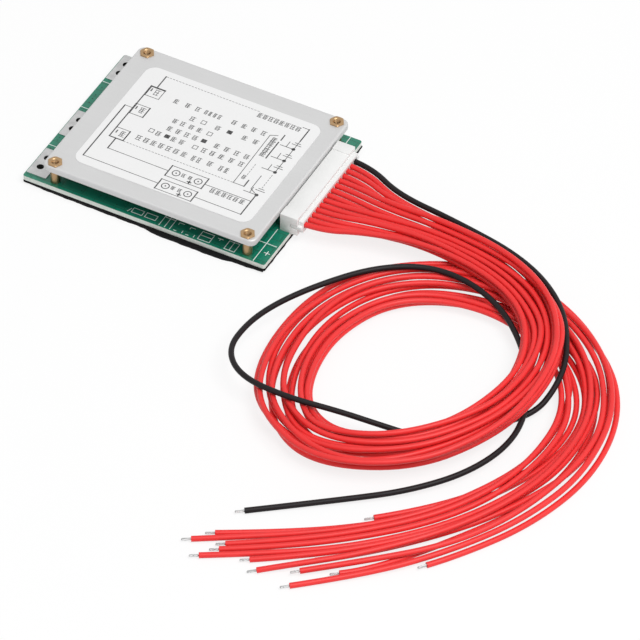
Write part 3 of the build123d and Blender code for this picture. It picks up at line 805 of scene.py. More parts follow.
def draw_label(shell, sizes):
    """The label's wiring drawing: lines, rings, dots, plus signs and open boxes."""
    level = (LABEL_TOP, sizes.film)
    lines = [(line, sizes.bold) for line in LABEL_BOLD]
    lines += [(line, sizes.fine) for line in LABEL_FINE]
    add_strokes(shell, lines, *level)
    for x, y in LABEL_RINGS:
        spot = (x * MM, y * MM)
        add_ring(shell, spot, RING_OUTER * MM, RING_INNER * MM, *level, RING_SIDES)
        add_ring(shell, spot, RING_DOT * MM, 0.0, *level, RING_DOT_SIDES)
    for x, y in LABEL_DOTS:
        add_ring(shell, (x * MM, y * MM), NODE_DOT * MM, 0.0, *level, NODE_DOT_SIDES)
    for x, y in LABEL_PLUSES:
        add_stroke(shell, (x - PLUS_ARM, y, x + PLUS_ARM, y), sizes.bold, *level)
        add_stroke(shell, (x, y - PLUS_ARM, x, y + PLUS_ARM), sizes.bold, *level)
    for x, y in LABEL_OPEN:
        for line in rectangle(x - OPEN_HALF, y - OPEN_HALF, x + OPEN_HALF, y + OPEN_HALF):
            add_stroke(shell, line, sizes.fine, *level)


def text_marks(film):
    """Marks for the dashes, the filled boxes and the strokes of the dummy signs."""
    marks = []

    def mark(x, y, stretch, turn=0.0):
        spot = Vector((x, y, 0)) * MM + Vector((0, 0, LABEL_TOP))
        marks.append((spot, (0.0, 0.0, turn), stretch))

    for x0, y0, x1, y1 in LABEL_BROKEN:
        start, end = Vector((x0, y0, 0)), Vector((x1, y1, 0))
        count = int((end - start).length / DASH_PITCH)
        for i in range(count):
            middle = start.lerp(end, (i + 0.5) / count)
            mark(middle.x, middle.y, (*DASH_SIZE, film), math.atan2(y1 - y0, x1 - x0))
    for x, y in LABEL_FILLED:
        mark(x, y, (*FILLED_SIZE, film))
    for row, (y, height, width, places) in enumerate(LABEL_ROWS):
        for column, x in enumerate(places):
            # One of four kinds of sign, which changes from place to place.
            kind = (row * 3 + column * 5) % 4
            strokes = 3 if kind == 2 else 4
            for i in range(strokes):
                step = (i / (strokes - 1) - 0.5) * height
                mark(x, y + step, (width * SIGN_REACHES[(kind + i) % 4], SIGN_STROKE, film))
            for side in (SIGN_STEM, SIGN_SHIFT * kind):
                mark(x + side * width, y, (SIGN_STROKE, height, film * (1 + PRINT_STEP)))
    return marks


def unit_bar(shell):
    """A bar one unit wide, deep and high that stands on the origin."""
    bmesh.ops.create_cube(shell, size=1.0, matrix=Matrix.Translation((0, 0, 0.5)))


class BOARD_OT_label(Operator):
    """Prints the wiring drawing and dummy text on the label"""

    bl_idname = "board.label"
    bl_label = "Label print"

    def execute(self, context):
        sizes = context.scene.print_sizes
        dress(context, "label", "plate_label")
        ink = finish(context, "ink")
        drawing = mesh_from("label_drawing", lambda shell: draw_label(shell, sizes), ink)
        add_piece("label_drawing", drawing, "label_white")
        copies("label_text_rows", unit_bar, text_marks(sizes.film / MM), ink, "label_white", size=MM)
        return {"FINISHED"}


# White print on the board, in millimetres: round the connector, along the front edge and by the pads.
LEGEND_LINES = [
    (38.0, -31.6, 38.0, -15.9),
    (34.6, -23.0, 41.4, -23.0),
    (38.0, 22.4, 38.0, 31.7),
    (39.3, -26.9, 41.1, -26.9),
    (40.2, -27.8, 40.2, -26.0),
    (-41.7, 17.7, -35.6, 17.7),
    (-41.7, 4.2, -35.6, 4.2),
    (-41.7, -15.8, -35.6, -15.8),
    (-34.9, -16.0, -34.9, 31.0),
    *rectangle(18.6, -31.2, 22.6, -27.6),
    (18.6, -29.3, 22.6, -29.3),
    *rectangle(27.7, -31.2, 31.2, -27.4),
    (29.4, -31.2, 29.4, -27.4),
    *rectangle(-4.8, -30.4, -1.2, -28.4),
    *rectangle(-0.2, -30.4, 3.5, -28.4),
    (5.4, -31.5, 5.4, -26.8),
    (7.3, -31.5, 7.3, -26.8),
    (9.1, -31.5, 9.1, -26.8),
    (5.4, -27.4, 9.1, -27.4),
    (10.6, -27.6, 12.2, -27.6),
    (10.6, -27.6, 10.6, -28.4),
    (10.4, -31.3, 11.2, -31.3),
    (13.2, -31.3, 13.2, -30.4),
    (14.6, -27.8, 16.1, -27.8),
    (14.6, -27.8, 14.6, -28.6),
    (14.6, -31.3, 15.4, -31.3),
    (17.2, -31.3, 17.2, -30.4),
    (24.1, -28.0, 25.8, -28.0),
    (24.9, -28.0, 24.9, -28.7),
    (-6.0, -30.6, -5.4, -29.0),
    *rectangle(-29.3, 24.4, -16.7, 31.6),
    *rectangle(-17.2, -15.4, -16.2, 21.0),
]
VIA_PLACES = [
    *[(-40.6, y) for y in (19.4, 15.1, 11.1, 9.1, 7.1, 2.6, -11.5, -12.9, -17.2)],
    *[(-37.2, y) for y in (18.9, 13.0, 10.1, 6.0, 3.0, -12.2, -17.0)],
    *[(-33.2 + 1.5 * i, 30.6) for i in range(3)],
    (-40.0, -30.9),
    (33.6, -24.6),
    (36.3, -19.6),
    (36.4, -25.6),
    (40.3, 26.6),
    (36.7, 28.7),
    (24.4, -30.7),
    (-10.2, -29.7),
    (-16.4, -28.6),
    (-22.6, -29.4),
]


# How far the sheet's ragged front edge sticks out, in millimetres: place along x, reach.
FRAY_REACH = [(-42.0, 0.3), (0.0, 0.55), (5.0, 1.45), (26.0, 1.55), (32.0, 0.9), (42.0, 0.9)]
# The ragged side edge's reach, the waves of both, their section and the sheet's curled ends, in millimetres.
SIDE_REACH = 0.55
FRAY_STEPS = 220
FRAY_DEPTH = 0.055
FRAY_WAVES = (0.9, 1.7, 3.1, 5.3)
FRAY_LAP = 0.1
FRAY_LIP = 0.3
FRAY_UNDERCUT = 0.2
FRAY_CLEAR_LOW = 0.02
FRAY_CLEAR_HIGH = 0.05
CURL_START = 27.0
CURL_RUN = 15.0
CURL_RISE = 0.6


def fray_reach(x):
    """The sheet's reach past its edge at a place along the front."""
    for (start, first), (end, second) in zip(FRAY_REACH, FRAY_REACH[1:]):
        if x <= end:
            share = max(0.0, (x - start) / (end - start))
            return first + (second - first) * share * share * (3 - 2 * share)
    return FRAY_REACH[-1][1]


def add_frayed_edge(shell, axis, edge, side, reach):
    """A ragged strip of felt that sticks out along one edge of the sheet and follows its curled ends."""
    first = getattr(SHEET_LOW, axis) / MM
    last = getattr(SHEET_HIGH, axis) / MM
    outlines = []
    for step in range(FRAY_STEPS + 1):
        place = first + (last - first) * step / FRAY_STEPS
        fray = sum(math.sin(place * k + k * k) / k for k in FRAY_WAVES) * FRAY_DEPTH
        along_x = place if axis == "x" else edge / MM
        curl = max(0.0, (abs(along_x) - CURL_START) / CURL_RUN) ** 2 * CURL_RISE
        low = SHEET_LOW.z + (FRAY_CLEAR_LOW + curl) * MM
        high = SHEET_HIGH.z - (FRAY_CLEAR_HIGH + FRAY_LIP * abs(fray)) * MM
        back = edge - side * FRAY_LAP * MM
        front = edge + side * (reach(place) + fray) * MM
        section = (
            (back, high),
            (front - side * FRAY_LAP * MM, high),
            (front, high - FRAY_LIP * MM),
            (front - side * FRAY_UNDERCUT * MM, low),
            (back, low),
        )
        outlines.append(
            [(place * MM, out, z) if axis == "x" else (out, place * MM, z) for out, z in section]
        )
    add_skin(shell, outlines)


def frayed_edges(shell):
    """The ragged edges that show in front and beside the connector."""
    add_frayed_edge(shell, "x", SHEET_LOW.y, -1.0, fray_reach)
    add_frayed_edge(shell, "y", SHEET_HIGH.x, 1.0, lambda place: SIDE_REACH)


# A via with a width of one: its rim's and its hole's radius and height.
VIA_RIM = (0.5, 0.3)
VIA_RIM_HEIGHT = 0.05
VIA_HOLE = 0.32
VIA_HOLE_HEIGHT = 0.02
VIA_SIDES = 14


def via_rim(shell):
    """The raised rim of a via."""
    add_ring(shell, (0, 0), *VIA_RIM, 0.0, VIA_RIM_HEIGHT, VIA_SIDES)


def via_hole(shell):
    """The mouth of a via: a dark disc of painted shade for its hole."""
    add_ring(shell, (0, 0), VIA_HOLE, 0.0, 0.0, VIA_HOLE_HEIGHT, VIA_SIDES)


class BOARD_OT_board(Operator):
    """Finishes the circuit board, its sheet and pads, prints the white legend and sets the vias with painted
    shade in their holes
    """

    bl_idname = "board.board"
    bl_label = "Circuit board"

    def execute(self, context):
        sizes = context.scene.print_sizes
        dress(context, "resist", "circuit_board")
        dress(context, "sheet", "insulating_sheet")
        dress(context, "tin", *(f"terminal_pad_{use}" for use in ("charge", "load", "battery")))
        felt = mesh_from("frayed_sheet_edge", frayed_edges, finish(context, "sheet"))
        add_piece("frayed_sheet_edge", felt, "sheet_black")

        def draw_legend(shell):
            add_strokes(shell, [(line, sizes.legend) for line in LEGEND_LINES], BOARD_TOP, sizes.film)

        legend = mesh_from("board_legend", draw_legend, finish(context, "legend"))
        add_piece("board_legend", legend, "board_green")
        marks = [plain_mark(x * MM, y * MM, BOARD_TOP) for x, y in VIA_PLACES]
        for name, build, look in (("via_rims", via_rim, "resist"), ("via_holes", via_hole, "hole")):
            copies(name, build, marks, finish(context, look), "board_green", size=sizes.via)
        return {"FINISHED"}


# Barrel nut in millimetres: the solid's sizes, then the eased edges and the thread that only show here. The
# undercut and the crown are shares of the hexagon. The bore's mouth has a drop and a radius for each ring.
NUT_FLATS = 4.2
NUT_HEAD = 0.5
NUT_BARREL_RADIUS = 1.5
NUT_BORE_RADIUS = 0.95
NUT_FOOT_EASE = 0.14
NUT_UNDERCUT = 0.99
NUT_HEAD_EASE = 0.05
NUT_CHAMFER = 0.16
NUT_CROWN = 1.06
NUT_CROWN_EASE = 0.1
NUT_MOUTH = ((0.0, 1.34), (0.06, 1.27), (0.3, 1.0))
NUT_SIDES = 48
NUT_SHARP = 35
THREAD_PITCH = 0.4
THREAD_TURNS = 9
THREAD_START = 0.42
THREAD_END = 4.1
THREAD_ROOT_RADIUS = 1.12
THREAD_ROOT_DROP = 0.45


def nut_shape(shell):
    """A barrel nut about the Z axis, from the board up: barrel, chamfered hexagon and threaded bore."""
    top = NUT_HIGH.z - NUT_LOW.z
    seat = top - NUT_HEAD * MM
    half = NUT_FLATS / 2 * MM

    def hexagon(t):
        return half / math.cos(t % (math.pi / 3) - math.pi / 6)

    def crown(t):
        return min(hexagon(t), half * NUT_CROWN)

    def round_with(radius):
        return lambda t: radius * MM

    rings = [
        (0.0, round_with(NUT_BARREL_RADIUS - NUT_FOOT_EASE)),
        (NUT_FOOT_EASE * MM, round_with(NUT_BARREL_RADIUS)),
        (seat, round_with(NUT_BARREL_RADIUS)),
        (seat, lambda t: hexagon(t) * NUT_UNDERCUT),
        (seat + NUT_HEAD_EASE * MM, hexagon),
        (top - NUT_CHAMFER * MM, hexagon),
        (top - NUT_HEAD_EASE * MM, crown),
        (top, lambda t: crown(t) - NUT_CROWN_EASE * MM),
        *((top - drop * MM, round_with(radius)) for drop, radius in NUT_MOUTH),
    ]
    for turn in range(THREAD_TURNS):
        level = top - (THREAD_START + turn * THREAD_PITCH) * MM
        rings.append((level, round_with(NUT_BORE_RADIUS)))
        rings.append((level - THREAD_PITCH * THREAD_ROOT_DROP * MM, round_with(THREAD_ROOT_RADIUS)))
    rings.append((top - THREAD_END * MM, round_with(NUT_BORE_RADIUS)))
    rings.append((0.0, round_with(NUT_BORE_RADIUS)))
    angles = [2 * math.pi * i / NUT_SIDES for i in range(NUT_SIDES)]
    outlines = [
        [(radius(t) * math.cos(t), radius(t) * math.sin(t), level) for t in angles]
        for level, radius in rings
    ]
    add_skin(shell, outlines, closed=True)


class BOARD_OT_plate(Operator):
    """Finishes the heat plate, what it clamps and the screws, and sets the threaded barrel nuts"""

    bl_idname = "board.plate"
    bl_label = "Heat plate and nuts"

    def execute(self, context):
        dress(context, "aluminium", "heat_plate")
        dress(context, "gap_pad", "thermal_pad")
        dress(context, "steel", "clamp_screws")
        reach_y = NUT_FLATS / 2 * MM
        reach_x = reach_y / math.cos(math.pi / 6)
        marks = [
            plain_mark(x, y, NUT_LOW.z)
            for x in (NUT_LOW.x + reach_x, NUT_HIGH.x - reach_x)
            for y in (NUT_LOW.y + reach_y, NUT_HIGH.y - reach_y)
        ]
        brass = finish(context, "brass")
        nuts = copies("threaded_barrel_nuts", nut_shape, marks, brass, "nut_brass", "barrel_nuts")
        smooth(nuts, NUT_SHARP)
        return {"FINISHED"}


# Moulded bodies: node, name of the eased piece, width of its eased edges in millimetres.
EASED_BODIES = (
    ("transistor_bodies", "eased_transistors", 0.18),
    ("balance_transistors", "eased_small_transistors", 0.08),
    ("control_chips", "eased_control_chips", 0.1),
)
EASED_HOUSINGS = (("header_housing", "eased_header", 0.16), ("plug_housing", "eased_plug", 0.14))
TINNED_NODES = (
    "transistor_tabs",
    "transistor_leads",
    "shunt_ends",
    "resistor_ends",
    "balance_transistor_leads",
    "capacitor_ends",
    "control_chip_leads",
)


class BOARD_OT_parts(Operator):
    """Finishes the transistors, shunts, chips and the small parts of each cell"""

    bl_idname = "board.parts"
    bl_label = "Board parts"

    def execute(self, context):
        dress(context, "tin", *TINNED_NODES)
        dress(context, "moulding", "shunt_bodies", "balance_resistors")
        dress(context, "ceramic", "chip_capacitors")
        for node, name, width in EASED_BODIES:
            softened(context, node, name, width, "moulding", "moulding_black")
        return {"FINISHED"}


class BOARD_OT_connector(Operator):
    """Finishes the header, its pins, the plug and the crimped contacts"""

    bl_idname = "board.connector"
    bl_label = "Wire connector"

    def execute(self, context):
        dress(context, "tin", "header_pins", "crimp_contacts")
        for node, name, width in EASED_HOUSINGS:
            softened(context, node, name, width, "nylon", "connector_white")
        return {"FINISHED"}


# Way of each wire after its straight lead in millimetres, the black wire last: x past the plug, y from the
# connector's middle, height over a wire that lies on the floor. They are the points of the part's source.
# The bundle's way was read off the photograph, and a scratch program then settled the wires clear of one
# another.
WIRE_WAYS = [
    [
        (17.5, -11.7, 6.4), (36.8, -7.9, 7.2), (59.2, -11.0, 7.5), (75.6, -20.0, 7.4),
        (84.4, -35.6, 7.0), (84.8, -50.9, 6.6), (78.3, -69.4, 5.7), (67.3, -81.0, 4.6),
        (50.3, -89.4, 3.6), (36.7, -83.7, 2.7), (30.1, -69.2, 1.9), (28.8, -49.9, 1.4),
        (36.2, -30.5, 0.9), (53.9, -19.2, 0.4), (76.2, -18.1, 0.0), (95.6, -27.9, 0.0),
        (107.5, -46.1, 0.0), (106.6, -67.7, 0.0), (98.3, -84.1, 0.0), (84.8, -101.7, 0.0),
        (73.2, -111.8, 0.0),
    ],
    [
        (17.5, -10.0, 5.2), (37.0, -7.1, 5.3), (62.3, -11.9, 5.5), (75.3, -20.9, 5.4),
        (82.4, -32.4, 5.2), (84.7, -51.4, 4.5), (79.7, -69.9, 4.1), (66.3, -84.7, 3.4),
        (49.2, -91.6, 2.7), (36.6, -86.8, 2.2), (28.1, -71.2, 1.8), (26.7, -48.2, 1.4),
        (32.9, -30.9, 1.0), (53.3, -16.8, 0.6), (77.8, -16.1, 0.3), (98.5, -27.9, 0.2),
        (108.7, -43.4, 0.1), (109.5, -64.8, 0.1), (99.9, -87.1, 0.0), (88.1, -101.6, 0.0),
        (70.3, -117.7, 0.0), (51.8, -130.2, 0.0), (35.8, -139.2, 0.0),
    ],
    [
        (17.8, -8.0, 4.9), (37.4, -5.0, 5.1), (60.8, -8.8, 5.4), (76.5, -18.4, 5.3), (85.0, -33.8, 5.2),
        (86.7, -48.6, 4.6), (82.8, -68.4, 4.1), (68.7, -86.9, 4.1), (49.2, -95.8, 4.1),
        (34.0, -92.4, 3.5), (21.0, -71.3, 3.1), (20.4, -49.8, 3.0), (29.6, -27.8, 3.1),
        (50.0, -13.9, 2.7), (75.6, -14.4, 2.4), (96.8, -30.8, 1.7), (103.4, -46.1, 0.8),
        (104.0, -66.6, 1.3), (99.3, -83.4, 2.1), (87.5, -103.3, 2.0), (70.9, -119.1, 1.3),
        (52.6, -131.9, 0.7), (30.9, -144.6, 0.0),
    ],
    [
        (17.4, -6.8, 6.6), (37.0, -5.1, 7.1), (63.4, -10.2, 7.3), (78.6, -20.4, 7.2),
        (85.7, -31.7, 7.0), (87.2, -51.6, 6.6), (80.6, -70.2, 5.9), (68.1, -84.3, 5.3),
        (49.1, -91.9, 4.6), (35.6, -84.0, 4.3), (29.8, -68.8, 3.9), (28.7, -51.0, 3.5),
        (36.0, -32.1, 3.1), (52.0, -22.2, 2.7), (72.6, -21.1, 2.4), (92.7, -31.6, 2.2),
        (103.3, -48.4, 2.8), (104.5, -68.8, 3.4), (99.9, -86.9, 3.1), (89.6, -104.2, 2.4),
        (72.0, -121.0, 1.6), (53.7, -134.0, 0.8), (40.5, -141.6, 0.0),
    ],
    [
        (18.2, -4.9, 5.8), (38.2, -3.2, 6.5), (63.2, -7.5, 7.2), (80.7, -19.1, 7.6), (87.0, -30.9, 8.0),
        (88.6, -48.3, 8.1), (83.7, -65.7, 8.0), (66.4, -85.8, 7.4), (47.2, -92.5, 6.3),
        (36.4, -87.5, 5.0), (27.7, -71.9, 4.4), (26.1, -51.5, 3.9), (34.6, -30.7, 3.5),
        (50.5, -20.4, 3.1), (74.8, -19.1, 2.8), (92.0, -27.8, 3.0), (105.8, -48.1, 3.1),
        (106.9, -66.9, 2.7), (101.4, -88.4, 2.2), (89.9, -106.7, 1.8), (73.5, -122.2, 1.3),
        (55.0, -135.6, 0.6), (39.9, -144.4, 0.0),
    ],
    [
        (17.9, -3.2, 6.5), (37.8, -1.2, 6.9), (65.0, -5.7, 7.1), (79.9, -14.8, 7.2), (89.6, -30.8, 7.3),
        (90.6, -49.3, 7.2), (85.8, -66.5, 6.8), (70.2, -86.3, 6.2), (47.6, -95.4, 5.7),
        (30.2, -87.0, 5.3), (22.4, -72.2, 5.2), (21.2, -45.9, 5.1), (29.8, -26.0, 4.7),
        (47.8, -13.4, 3.9), (73.5, -11.5, 3.2), (97.8, -25.2, 2.6), (110.1, -46.2, 2.0),
        (110.6, -66.8, 1.5), (104.3, -86.8, 1.0), (92.2, -106.1, 0.5), (75.1, -123.5, 0.2),
        (56.3, -137.3, 0.1), (36.0, -149.3, 0.0),
    ],
    [
        (17.6, -2.1, 4.6), (37.2, -2.1, 4.8), (63.8, -7.6, 5.2), (79.1, -18.6, 5.3), (86.4, -31.0, 5.4),
        (89.0, -49.9, 5.0), (83.5, -71.6, 3.9), (70.0, -88.2, 2.8), (48.9, -96.3, 2.0),
        (32.5, -87.5, 2.1), (25.0, -70.2, 2.2), (23.4, -47.6, 2.0), (31.0, -26.9, 1.0),
        (48.4, -13.6, 0.9), (74.7, -10.9, 1.2), (100.8, -24.6, 1.5), (111.7, -41.0, 2.0),
        (113.6, -67.8, 1.9), (105.6, -89.8, 1.5), (94.7, -105.9, 1.2), (76.6, -124.8, 0.8),
        (57.5, -139.1, 0.4), (49.6, -143.8, 0.0),
    ],
    [
        (18.0, -0.3, 5.1), (38.0, -0.1, 5.1), (61.2, -4.3, 5.1), (79.4, -15.6, 5.2), (88.5, -30.4, 5.3),
        (90.8, -49.5, 5.2), (86.9, -69.2, 4.6), (70.8, -91.4, 4.4), (51.6, -101.3, 4.2),
        (25.0, -93.1, 3.8), (14.4, -75.0, 3.4), (13.8, -43.8, 3.0), (24.1, -21.4, 2.7),
        (48.5, -4.4, 2.3), (75.5, -3.0, 2.1), (102.2, -18.4, 1.9), (116.3, -42.5, 1.5),
        (117.0, -67.8, 1.8), (107.7, -90.5, 2.0), (96.3, -106.9, 1.2), (77.8, -126.5, 0.6),
        (66.3, -135.2, 0.0),
    ],
    [
        (18.1, 1.2, 6.3), (38.3, 0.8, 7.1), (63.9, -3.0, 8.0), (83.2, -13.4, 8.5), (92.9, -27.2, 8.0),
        (95.4, -51.2, 7.4), (90.8, -70.2, 6.8), (76.5, -92.2, 6.4), (51.0, -102.8, 6.2),
        (27.7, -91.0, 5.7), (19.5, -72.7, 4.8), (18.5, -47.6, 4.0), (28.6, -25.1, 3.3),
        (47.8, -11.3, 2.8), (76.3, -9.7, 3.0), (97.7, -22.4, 3.5), (111.0, -44.4, 3.6),
        (112.5, -66.9, 3.7), (107.9, -87.2, 3.8), (96.6, -107.8, 3.3), (78.8, -127.3, 2.2),
        (59.7, -142.4, 1.1), (53.4, -146.6, 0.0),
    ],
    [
        (18.2, 2.9, 7.1), (38.5, 2.3, 8.6), (63.1, -2.3, 9.9), (82.0, -13.4, 10.3), (93.1, -31.7, 9.9),
        (94.9, -52.4, 9.4), (91.1, -71.4, 8.7), (76.6, -94.0, 7.8), (49.3, -105.5, 6.8),
        (25.8, -94.2, 5.8), (16.5, -75.7, 5.2), (15.3, -49.8, 4.8), (27.6, -22.9, 4.3),
        (48.4, -9.3, 3.5), (76.7, -7.7, 3.0), (101.4, -21.8, 3.2), (115.2, -44.3, 3.6),
        (117.7, -65.6, 3.8), (110.6, -92.9, 3.2), (98.1, -113.4, 2.5), (80.3, -129.2, 1.6),
        (64.7, -141.4, 0.6),
    ],
    [
        (18.4, 3.8, 5.0), (38.7, 2.1, 5.0), (64.5, -3.4, 5.2), (81.7, -15.3, 4.9), (90.7, -30.5, 5.0),
        (92.7, -50.9, 5.5), (88.9, -69.1, 4.3), (73.8, -91.5, 2.8), (48.6, -100.3, 1.7),
        (32.2, -90.1, 1.0), (23.5, -69.5, 0.3), (23.2, -50.0, 0.0), (33.8, -26.5, 0.0),
        (48.6, -16.6, 0.0), (73.6, -13.1, 0.0), (98.6, -24.2, 0.0), (112.1, -42.6, 0.0),
        (115.0, -65.8, 0.0), (109.7, -88.2, 0.0), (96.0, -111.2, 0.0), (81.7, -131.0, 0.0),
        (74.8, -136.3, 0.0),
    ],
    [
        (18.1, 5.6, 5.9), (38.4, 3.6, 6.3), (62.6, -1.2, 6.3), (80.9, -11.9, 6.3), (92.3, -32.2, 7.2),
        (92.4, -51.0, 7.4), (86.9, -68.4, 6.9), (72.7, -87.4, 6.0), (47.9, -98.9, 4.6),
        (27.4, -90.8, 3.6), (16.3, -70.3, 3.2), (15.8, -45.5, 2.8), (26.0, -22.1, 2.7),
        (48.9, -7.2, 2.7), (74.8, -5.8, 3.1), (98.9, -16.9, 3.8), (116.4, -39.1, 3.6),
        (120.0, -68.5, 2.8), (112.5, -92.9, 2.0), (99.9, -113.1, 1.3), (83.1, -132.5, 0.6),
        (64.6, -147.5, 0.0),
    ],
    [
        (18.2, 7.2, 5.0), (38.6, 4.9, 4.7), (66.4, -0.9, 4.9), (82.7, -12.0, 5.3), (93.4, -29.9, 5.4),
        (95.4, -50.0, 5.6), (90.0, -71.4, 4.8), (75.4, -92.3, 3.7), (49.0, -103.2, 2.7),
        (30.6, -94.9, 1.8), (19.1, -74.1, 1.3), (17.6, -46.5, 0.9), (26.7, -23.8, 0.6),
        (47.5, -8.1, 0.3), (79.9, -6.0, 0.0), (104.5, -19.8, 0.0), (118.0, -40.0, 0.0),
        (121.4, -66.3, 0.0), (114.5, -92.1, 0.0), (101.6, -113.7, 0.0), (95.3, -121.4, 0.0),
    ],
    [
        (18.5, 9.0, 5.7), (38.9, 6.5, 6.0), (66.0, 1.3, 6.1), (84.6, -11.1, 6.0), (94.9, -29.0, 5.7),
        (97.3, -41.1, 4.1), (95.5, -52.8, 1.2), (83.5, -65.8, 1.3), (69.5, -78.6, 2.6),
        (59.2, -81.0, 4.4), (46.5, -83.5, 6.3), (31.1, -86.6, 7.4), (15.2, -85.7, 7.6),
        (6.2, -77.4, 7.3), (5.7, -64.6, 7.0), (9.2, -52.2, 6.8), (16.8, -38.3, 6.6), (27.2, -24.4, 6.4),
        (40.2, -15.6, 6.1), (54.2, -14.7, 5.7), (68.1, -19.8, 4.9), (78.0, -27.8, 3.5),
        (85.4, -37.2, 3.0), (93.7, -53.3, 3.6), (95.7, -68.3, 3.0), (89.8, -84.2, 2.2),
        (77.9, -98.2, 1.5), (63.5, -109.2, 0.7), (39.0, -127.2, 0.0),
    ],
]
# The plug's ways and the wires' start in millimetres, from the part's source.
WAY_PITCH = 2.5
FIRST_WAY = -13.0
CONNECTOR_MIDDLE = 3.25
WAY_HEIGHT = 6.3
WIRE_START = 44.0
# Length of each wire in millimetres.
WIRE_LENGTHS = [398, 459, 484, 444, 463, 503, 487, 515, 519, 526, 479, 524, 496, 484]
# Steps of a wire's spline between two points, and of its round section.
WIRE_STEPS = 10
WIRE_ROUND_STEPS = 5
# Strands of a stripped end: six twisted round one, their turn in radians, their hidden root in millimetres.
OUTER_STRANDS = 6
STRAND_SIDES = 7
STRAND_STEPS = 9
STRAND_TWIST = 2.2
STRAND_ROOT = 0.1
STRAND_POINT = 0.6


def wire_route(way, sizes):
    """The points of one wire's route, from its contact to its cut end, in metres."""
    y = (FIRST_WAY + way * WAY_PITCH) * MM
    bend = PLUG_REAR + sizes.first_bend
    route = [Vector((WIRE_START * MM, y, WAY_HEIGHT * MM)), Vector((bend, y, WAY_HEIGHT * MM))]
    for past, aside, height in WIRE_WAYS[way]:
        place = (PLUG_REAR + past * MM, (CONNECTOR_MIDDLE + aside) * MM, sizes.floor + height * MM)
        route.append(Vector(place))
    return route


def lay_wire(name, route, diameter, material):
    """A wire as one smooth spline with its route as control points."""
    curve = bpy.data.curves.new(name, "CURVE")
    curve.dimensions = "3D"
    spline = curve.splines.new("NURBS")
    spline.points.add(len(route) - 1)
    for point, place in zip(spline.points, route):
        point.co = (*place, 1.0)
    spline.order_u = 3
    spline.use_endpoint_u = True
    curve.resolution_u = WIRE_STEPS
    curve.bevel_depth = diameter / 2
    curve.bevel_resolution = WIRE_ROUND_STEPS
    curve.use_fill_caps = True
    curve.materials.append(material)
    return curve


def strand_shape(shell, bundle, reach):
    """Twisted tinned strands along Z, from the insulation to the cut, each longer than the last."""
    radius = bundle / 6
    for strand in range(OUTER_STRANDS + 1):
        middle = strand == OUTER_STRANDS
        out = 0.0 if middle else bundle / 3
        run = reach * (1.0 if middle else 0.95 + 0.01 * strand)
        outlines = []
        for step in range(STRAND_STEPS + 1):
            share = step / STRAND_STEPS
            t = strand * math.pi / 3 + share * STRAND_TWIST
            centre = (out * math.cos(t), out * math.sin(t), share * run - STRAND_ROOT * MM)
            thick = radius * (STRAND_POINT if step == STRAND_STEPS else 1.0)
            outlines.append(circle_of(centre, thick, STRAND_SIDES))
        add_skin(shell, outlines)


class BOARD_OT_harness(Operator):
    """Lays the wires from the plug to their stripped ends"""

    bl_idname = "board.harness"
    bl_label = "Harness"

    def execute(self, context):
        sizes = context.scene.harness_sizes
        tin = finish(context, "tin")

        def strands(shell):
            strand_shape(shell, sizes.tip_width, sizes.tip)

        for way, total in enumerate(WIRE_LENGTHS):
            black = way == len(WIRE_LENGTHS) - 1
            node = "pack_negative_wire" if black else f"sense_wire_{way + 1:02d}"
            look = "pack_wire" if black else "sense_wire"
            route = wire_route(way, sizes)
            curve = lay_wire("laid_" + node, route, sizes.diameter, finish(context, look))
            wire = add_piece("laid_" + node, curve, "wire_black" if black else "wire_red", node)
            heading = (route[-1] - route[-2]).normalized()
            mark = (route[-1], tuple(heading.to_track_quat("Z", "Y").to_euler()), WHOLE)
            name = f"bare_end_{way + 1:02d}"
            tip = copies(name, strands, [mark], tin, "tin_plating", "stripped_ends")
            tip.data.shade_smooth()
        return {"FINISHED"}


# The view fitted to the photograph: its frame in pixels, the camera's turn and tilt in degrees round a point
# by the board's middle, and how far right of that point and below it the camera aims, in pixels.
FRAME_PIXELS = 640
VIEW_TURN = 28.75
VIEW_TILT = 42.255
VIEW_POINT = Vector((0, 0, -0.001))
AIM_RIGHT = 126.94
AIM_DOWN = 151.79
SENSOR_WIDTH = 36.0
NEAREST = 0.05
FURTHEST = 50.0
# The lamp and the floor, in metres.
LAMP_SIZE = 1.3
LAMP_PLACE = Vector((0.9, -0.3, 1.7))
LAMP_AIM = Vector((0.06, -0.05, 0.0))
FLOOR_RADIUS = 6.0
FLOOR_SIDES = 64
FLOOR_DROP = 0.0001


def set_camera(scene, settings):
    """The camera at the photograph's viewing angle."""
    turn, tilt = math.radians(VIEW_TURN), math.radians(VIEW_TILT)
    right = Vector((math.cos(turn), math.sin(turn), 0))
    away = Vector((-math.sin(turn), math.cos(turn), 0))
    forward = away * math.cos(tilt) - Vector((0, 0, math.sin(tilt)))
    up = away * math.sin(tilt) + Vector((0, 0, math.cos(tilt)))
    pixels = settings.lens / SENSOR_WIDTH * FRAME_PIXELS
    aim = (forward + right * (AIM_RIGHT / pixels) - up * (AIM_DOWN / pixels)).normalized()
    side = (right - aim * right.dot(aim)).normalized()
    camera = bpy.data.cameras.new("Camera")
    camera.lens = settings.lens
    camera.sensor_width = SENSOR_WIDTH
    camera.clip_start = NEAREST
    camera.clip_end = FURTHEST
    basis = Matrix((side, side.cross(aim), -aim)).transposed().to_4x4()
    scene.camera = link_object("Camera", camera)
    scene.camera.matrix_world = Matrix.Translation(VIEW_POINT - forward * settings.distance) @ basis


def light_sky(scene, strength):
    """An even light from all round that shows white to the eye."""
    scene.world = scene.world or bpy.data.worlds.new("Studio")
    scene.world.use_nodes = True
    sky = Nodes(scene.world.node_tree)
    sky.tree.nodes.clear()
    around = sky.add("ShaderNodeBackground", None, {"Color": opaque(WHOLE), "Strength": strength})
    white = sky.add("ShaderNodeBackground", None, {"Color": opaque(WHOLE), "Strength": 1.0})
    output = sky.tree.nodes.new("ShaderNodeOutputWorld")
    sky.feed(output.inputs["Surface"], sky.blend(sky.shown(), around, white))


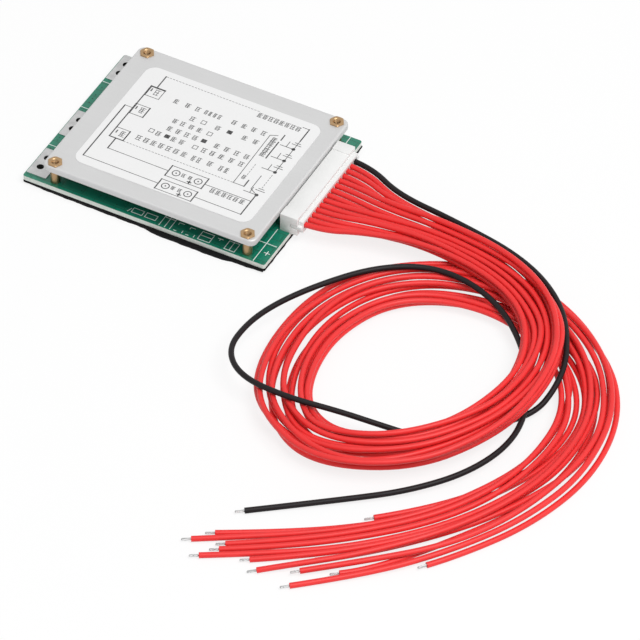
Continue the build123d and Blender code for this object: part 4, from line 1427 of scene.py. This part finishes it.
def hang_lamp(power):
    """One large soft lamp over the harness."""
    lamp = bpy.data.lights.new("Key", "AREA")
    lamp.shape = "DISK"
    lamp.size = LAMP_SIZE
    lamp.energy = power
    key = link_object("Key", lamp)
    key.location = LAMP_PLACE
    key.rotation_euler = (LAMP_AIM - LAMP_PLACE).to_track_quat("-Z", "Y").to_euler()


def floor_shape(shell):
    """A wide disc just under the part."""
    level = Matrix.Translation((0, 0, -FLOOR_DROP))
    bmesh.ops.create_circle(shell, cap_ends=True, segments=FLOOR_SIDES, radius=FLOOR_RADIUS, matrix=level)


class BOARD_OT_stage(Operator):
    """Sets the pale floor, soft light and the camera"""

    bl_idname = "board.stage"
    bl_label = "Stage"

    def execute(self, context):
        scene = context.scene
        scene.view_settings.view_transform = "Standard"
        set_camera(scene, scene.stage_settings)
        light_sky(scene, scene.stage_settings.sky)
        hang_lamp(scene.stage_settings.key)
        link_object("Floor", mesh_from("Floor", floor_shape, finish(context, "floor")))
        return {"FINISHED"}


class BOARD_PT_panel(Panel):
    """Lists the board's pieces in the sidebar"""

    bl_idname = "BOARD_PT_panel"
    bl_label = "Battery management board"
    bl_space_type = "VIEW_3D"
    bl_region_type = "UI"
    bl_category = "Board"

    def draw(self, context):
        for operator in OPERATORS:
            self.layout.operator(operator.bl_idname)


GROUPS = {
    "board_colours": BoardColours,
    "harness_sizes": HarnessSizes,
    "print_sizes": PrintSizes,
    "stage_settings": StageSettings,
}
OPERATORS = (
    BOARD_OT_stage,
    BOARD_OT_harness,
    BOARD_OT_board,
    BOARD_OT_parts,
    BOARD_OT_connector,
    BOARD_OT_plate,
    BOARD_OT_label,
)


def register():
    for group in (*GROUPS.values(), *OPERATORS, BOARD_PT_panel):
        bpy.utils.register_class(group)
    for name, group in GROUPS.items():
        setattr(bpy.types.Scene, name, PointerProperty(type=group))


def unregister():
    for name in GROUPS:
        delattr(bpy.types.Scene, name)
    for group in reversed((*GROUPS.values(), *OPERATORS, BOARD_PT_panel)):
        bpy.utils.unregister_class(group)


def main():
    register()
    bpy.ops.board.stage()
    bpy.ops.board.harness()
    bpy.ops.board.board()
    bpy.ops.board.parts()
    bpy.ops.board.connector()
    bpy.ops.board.plate()
    bpy.ops.board.label()


if __name__ == "__main__":
    main()
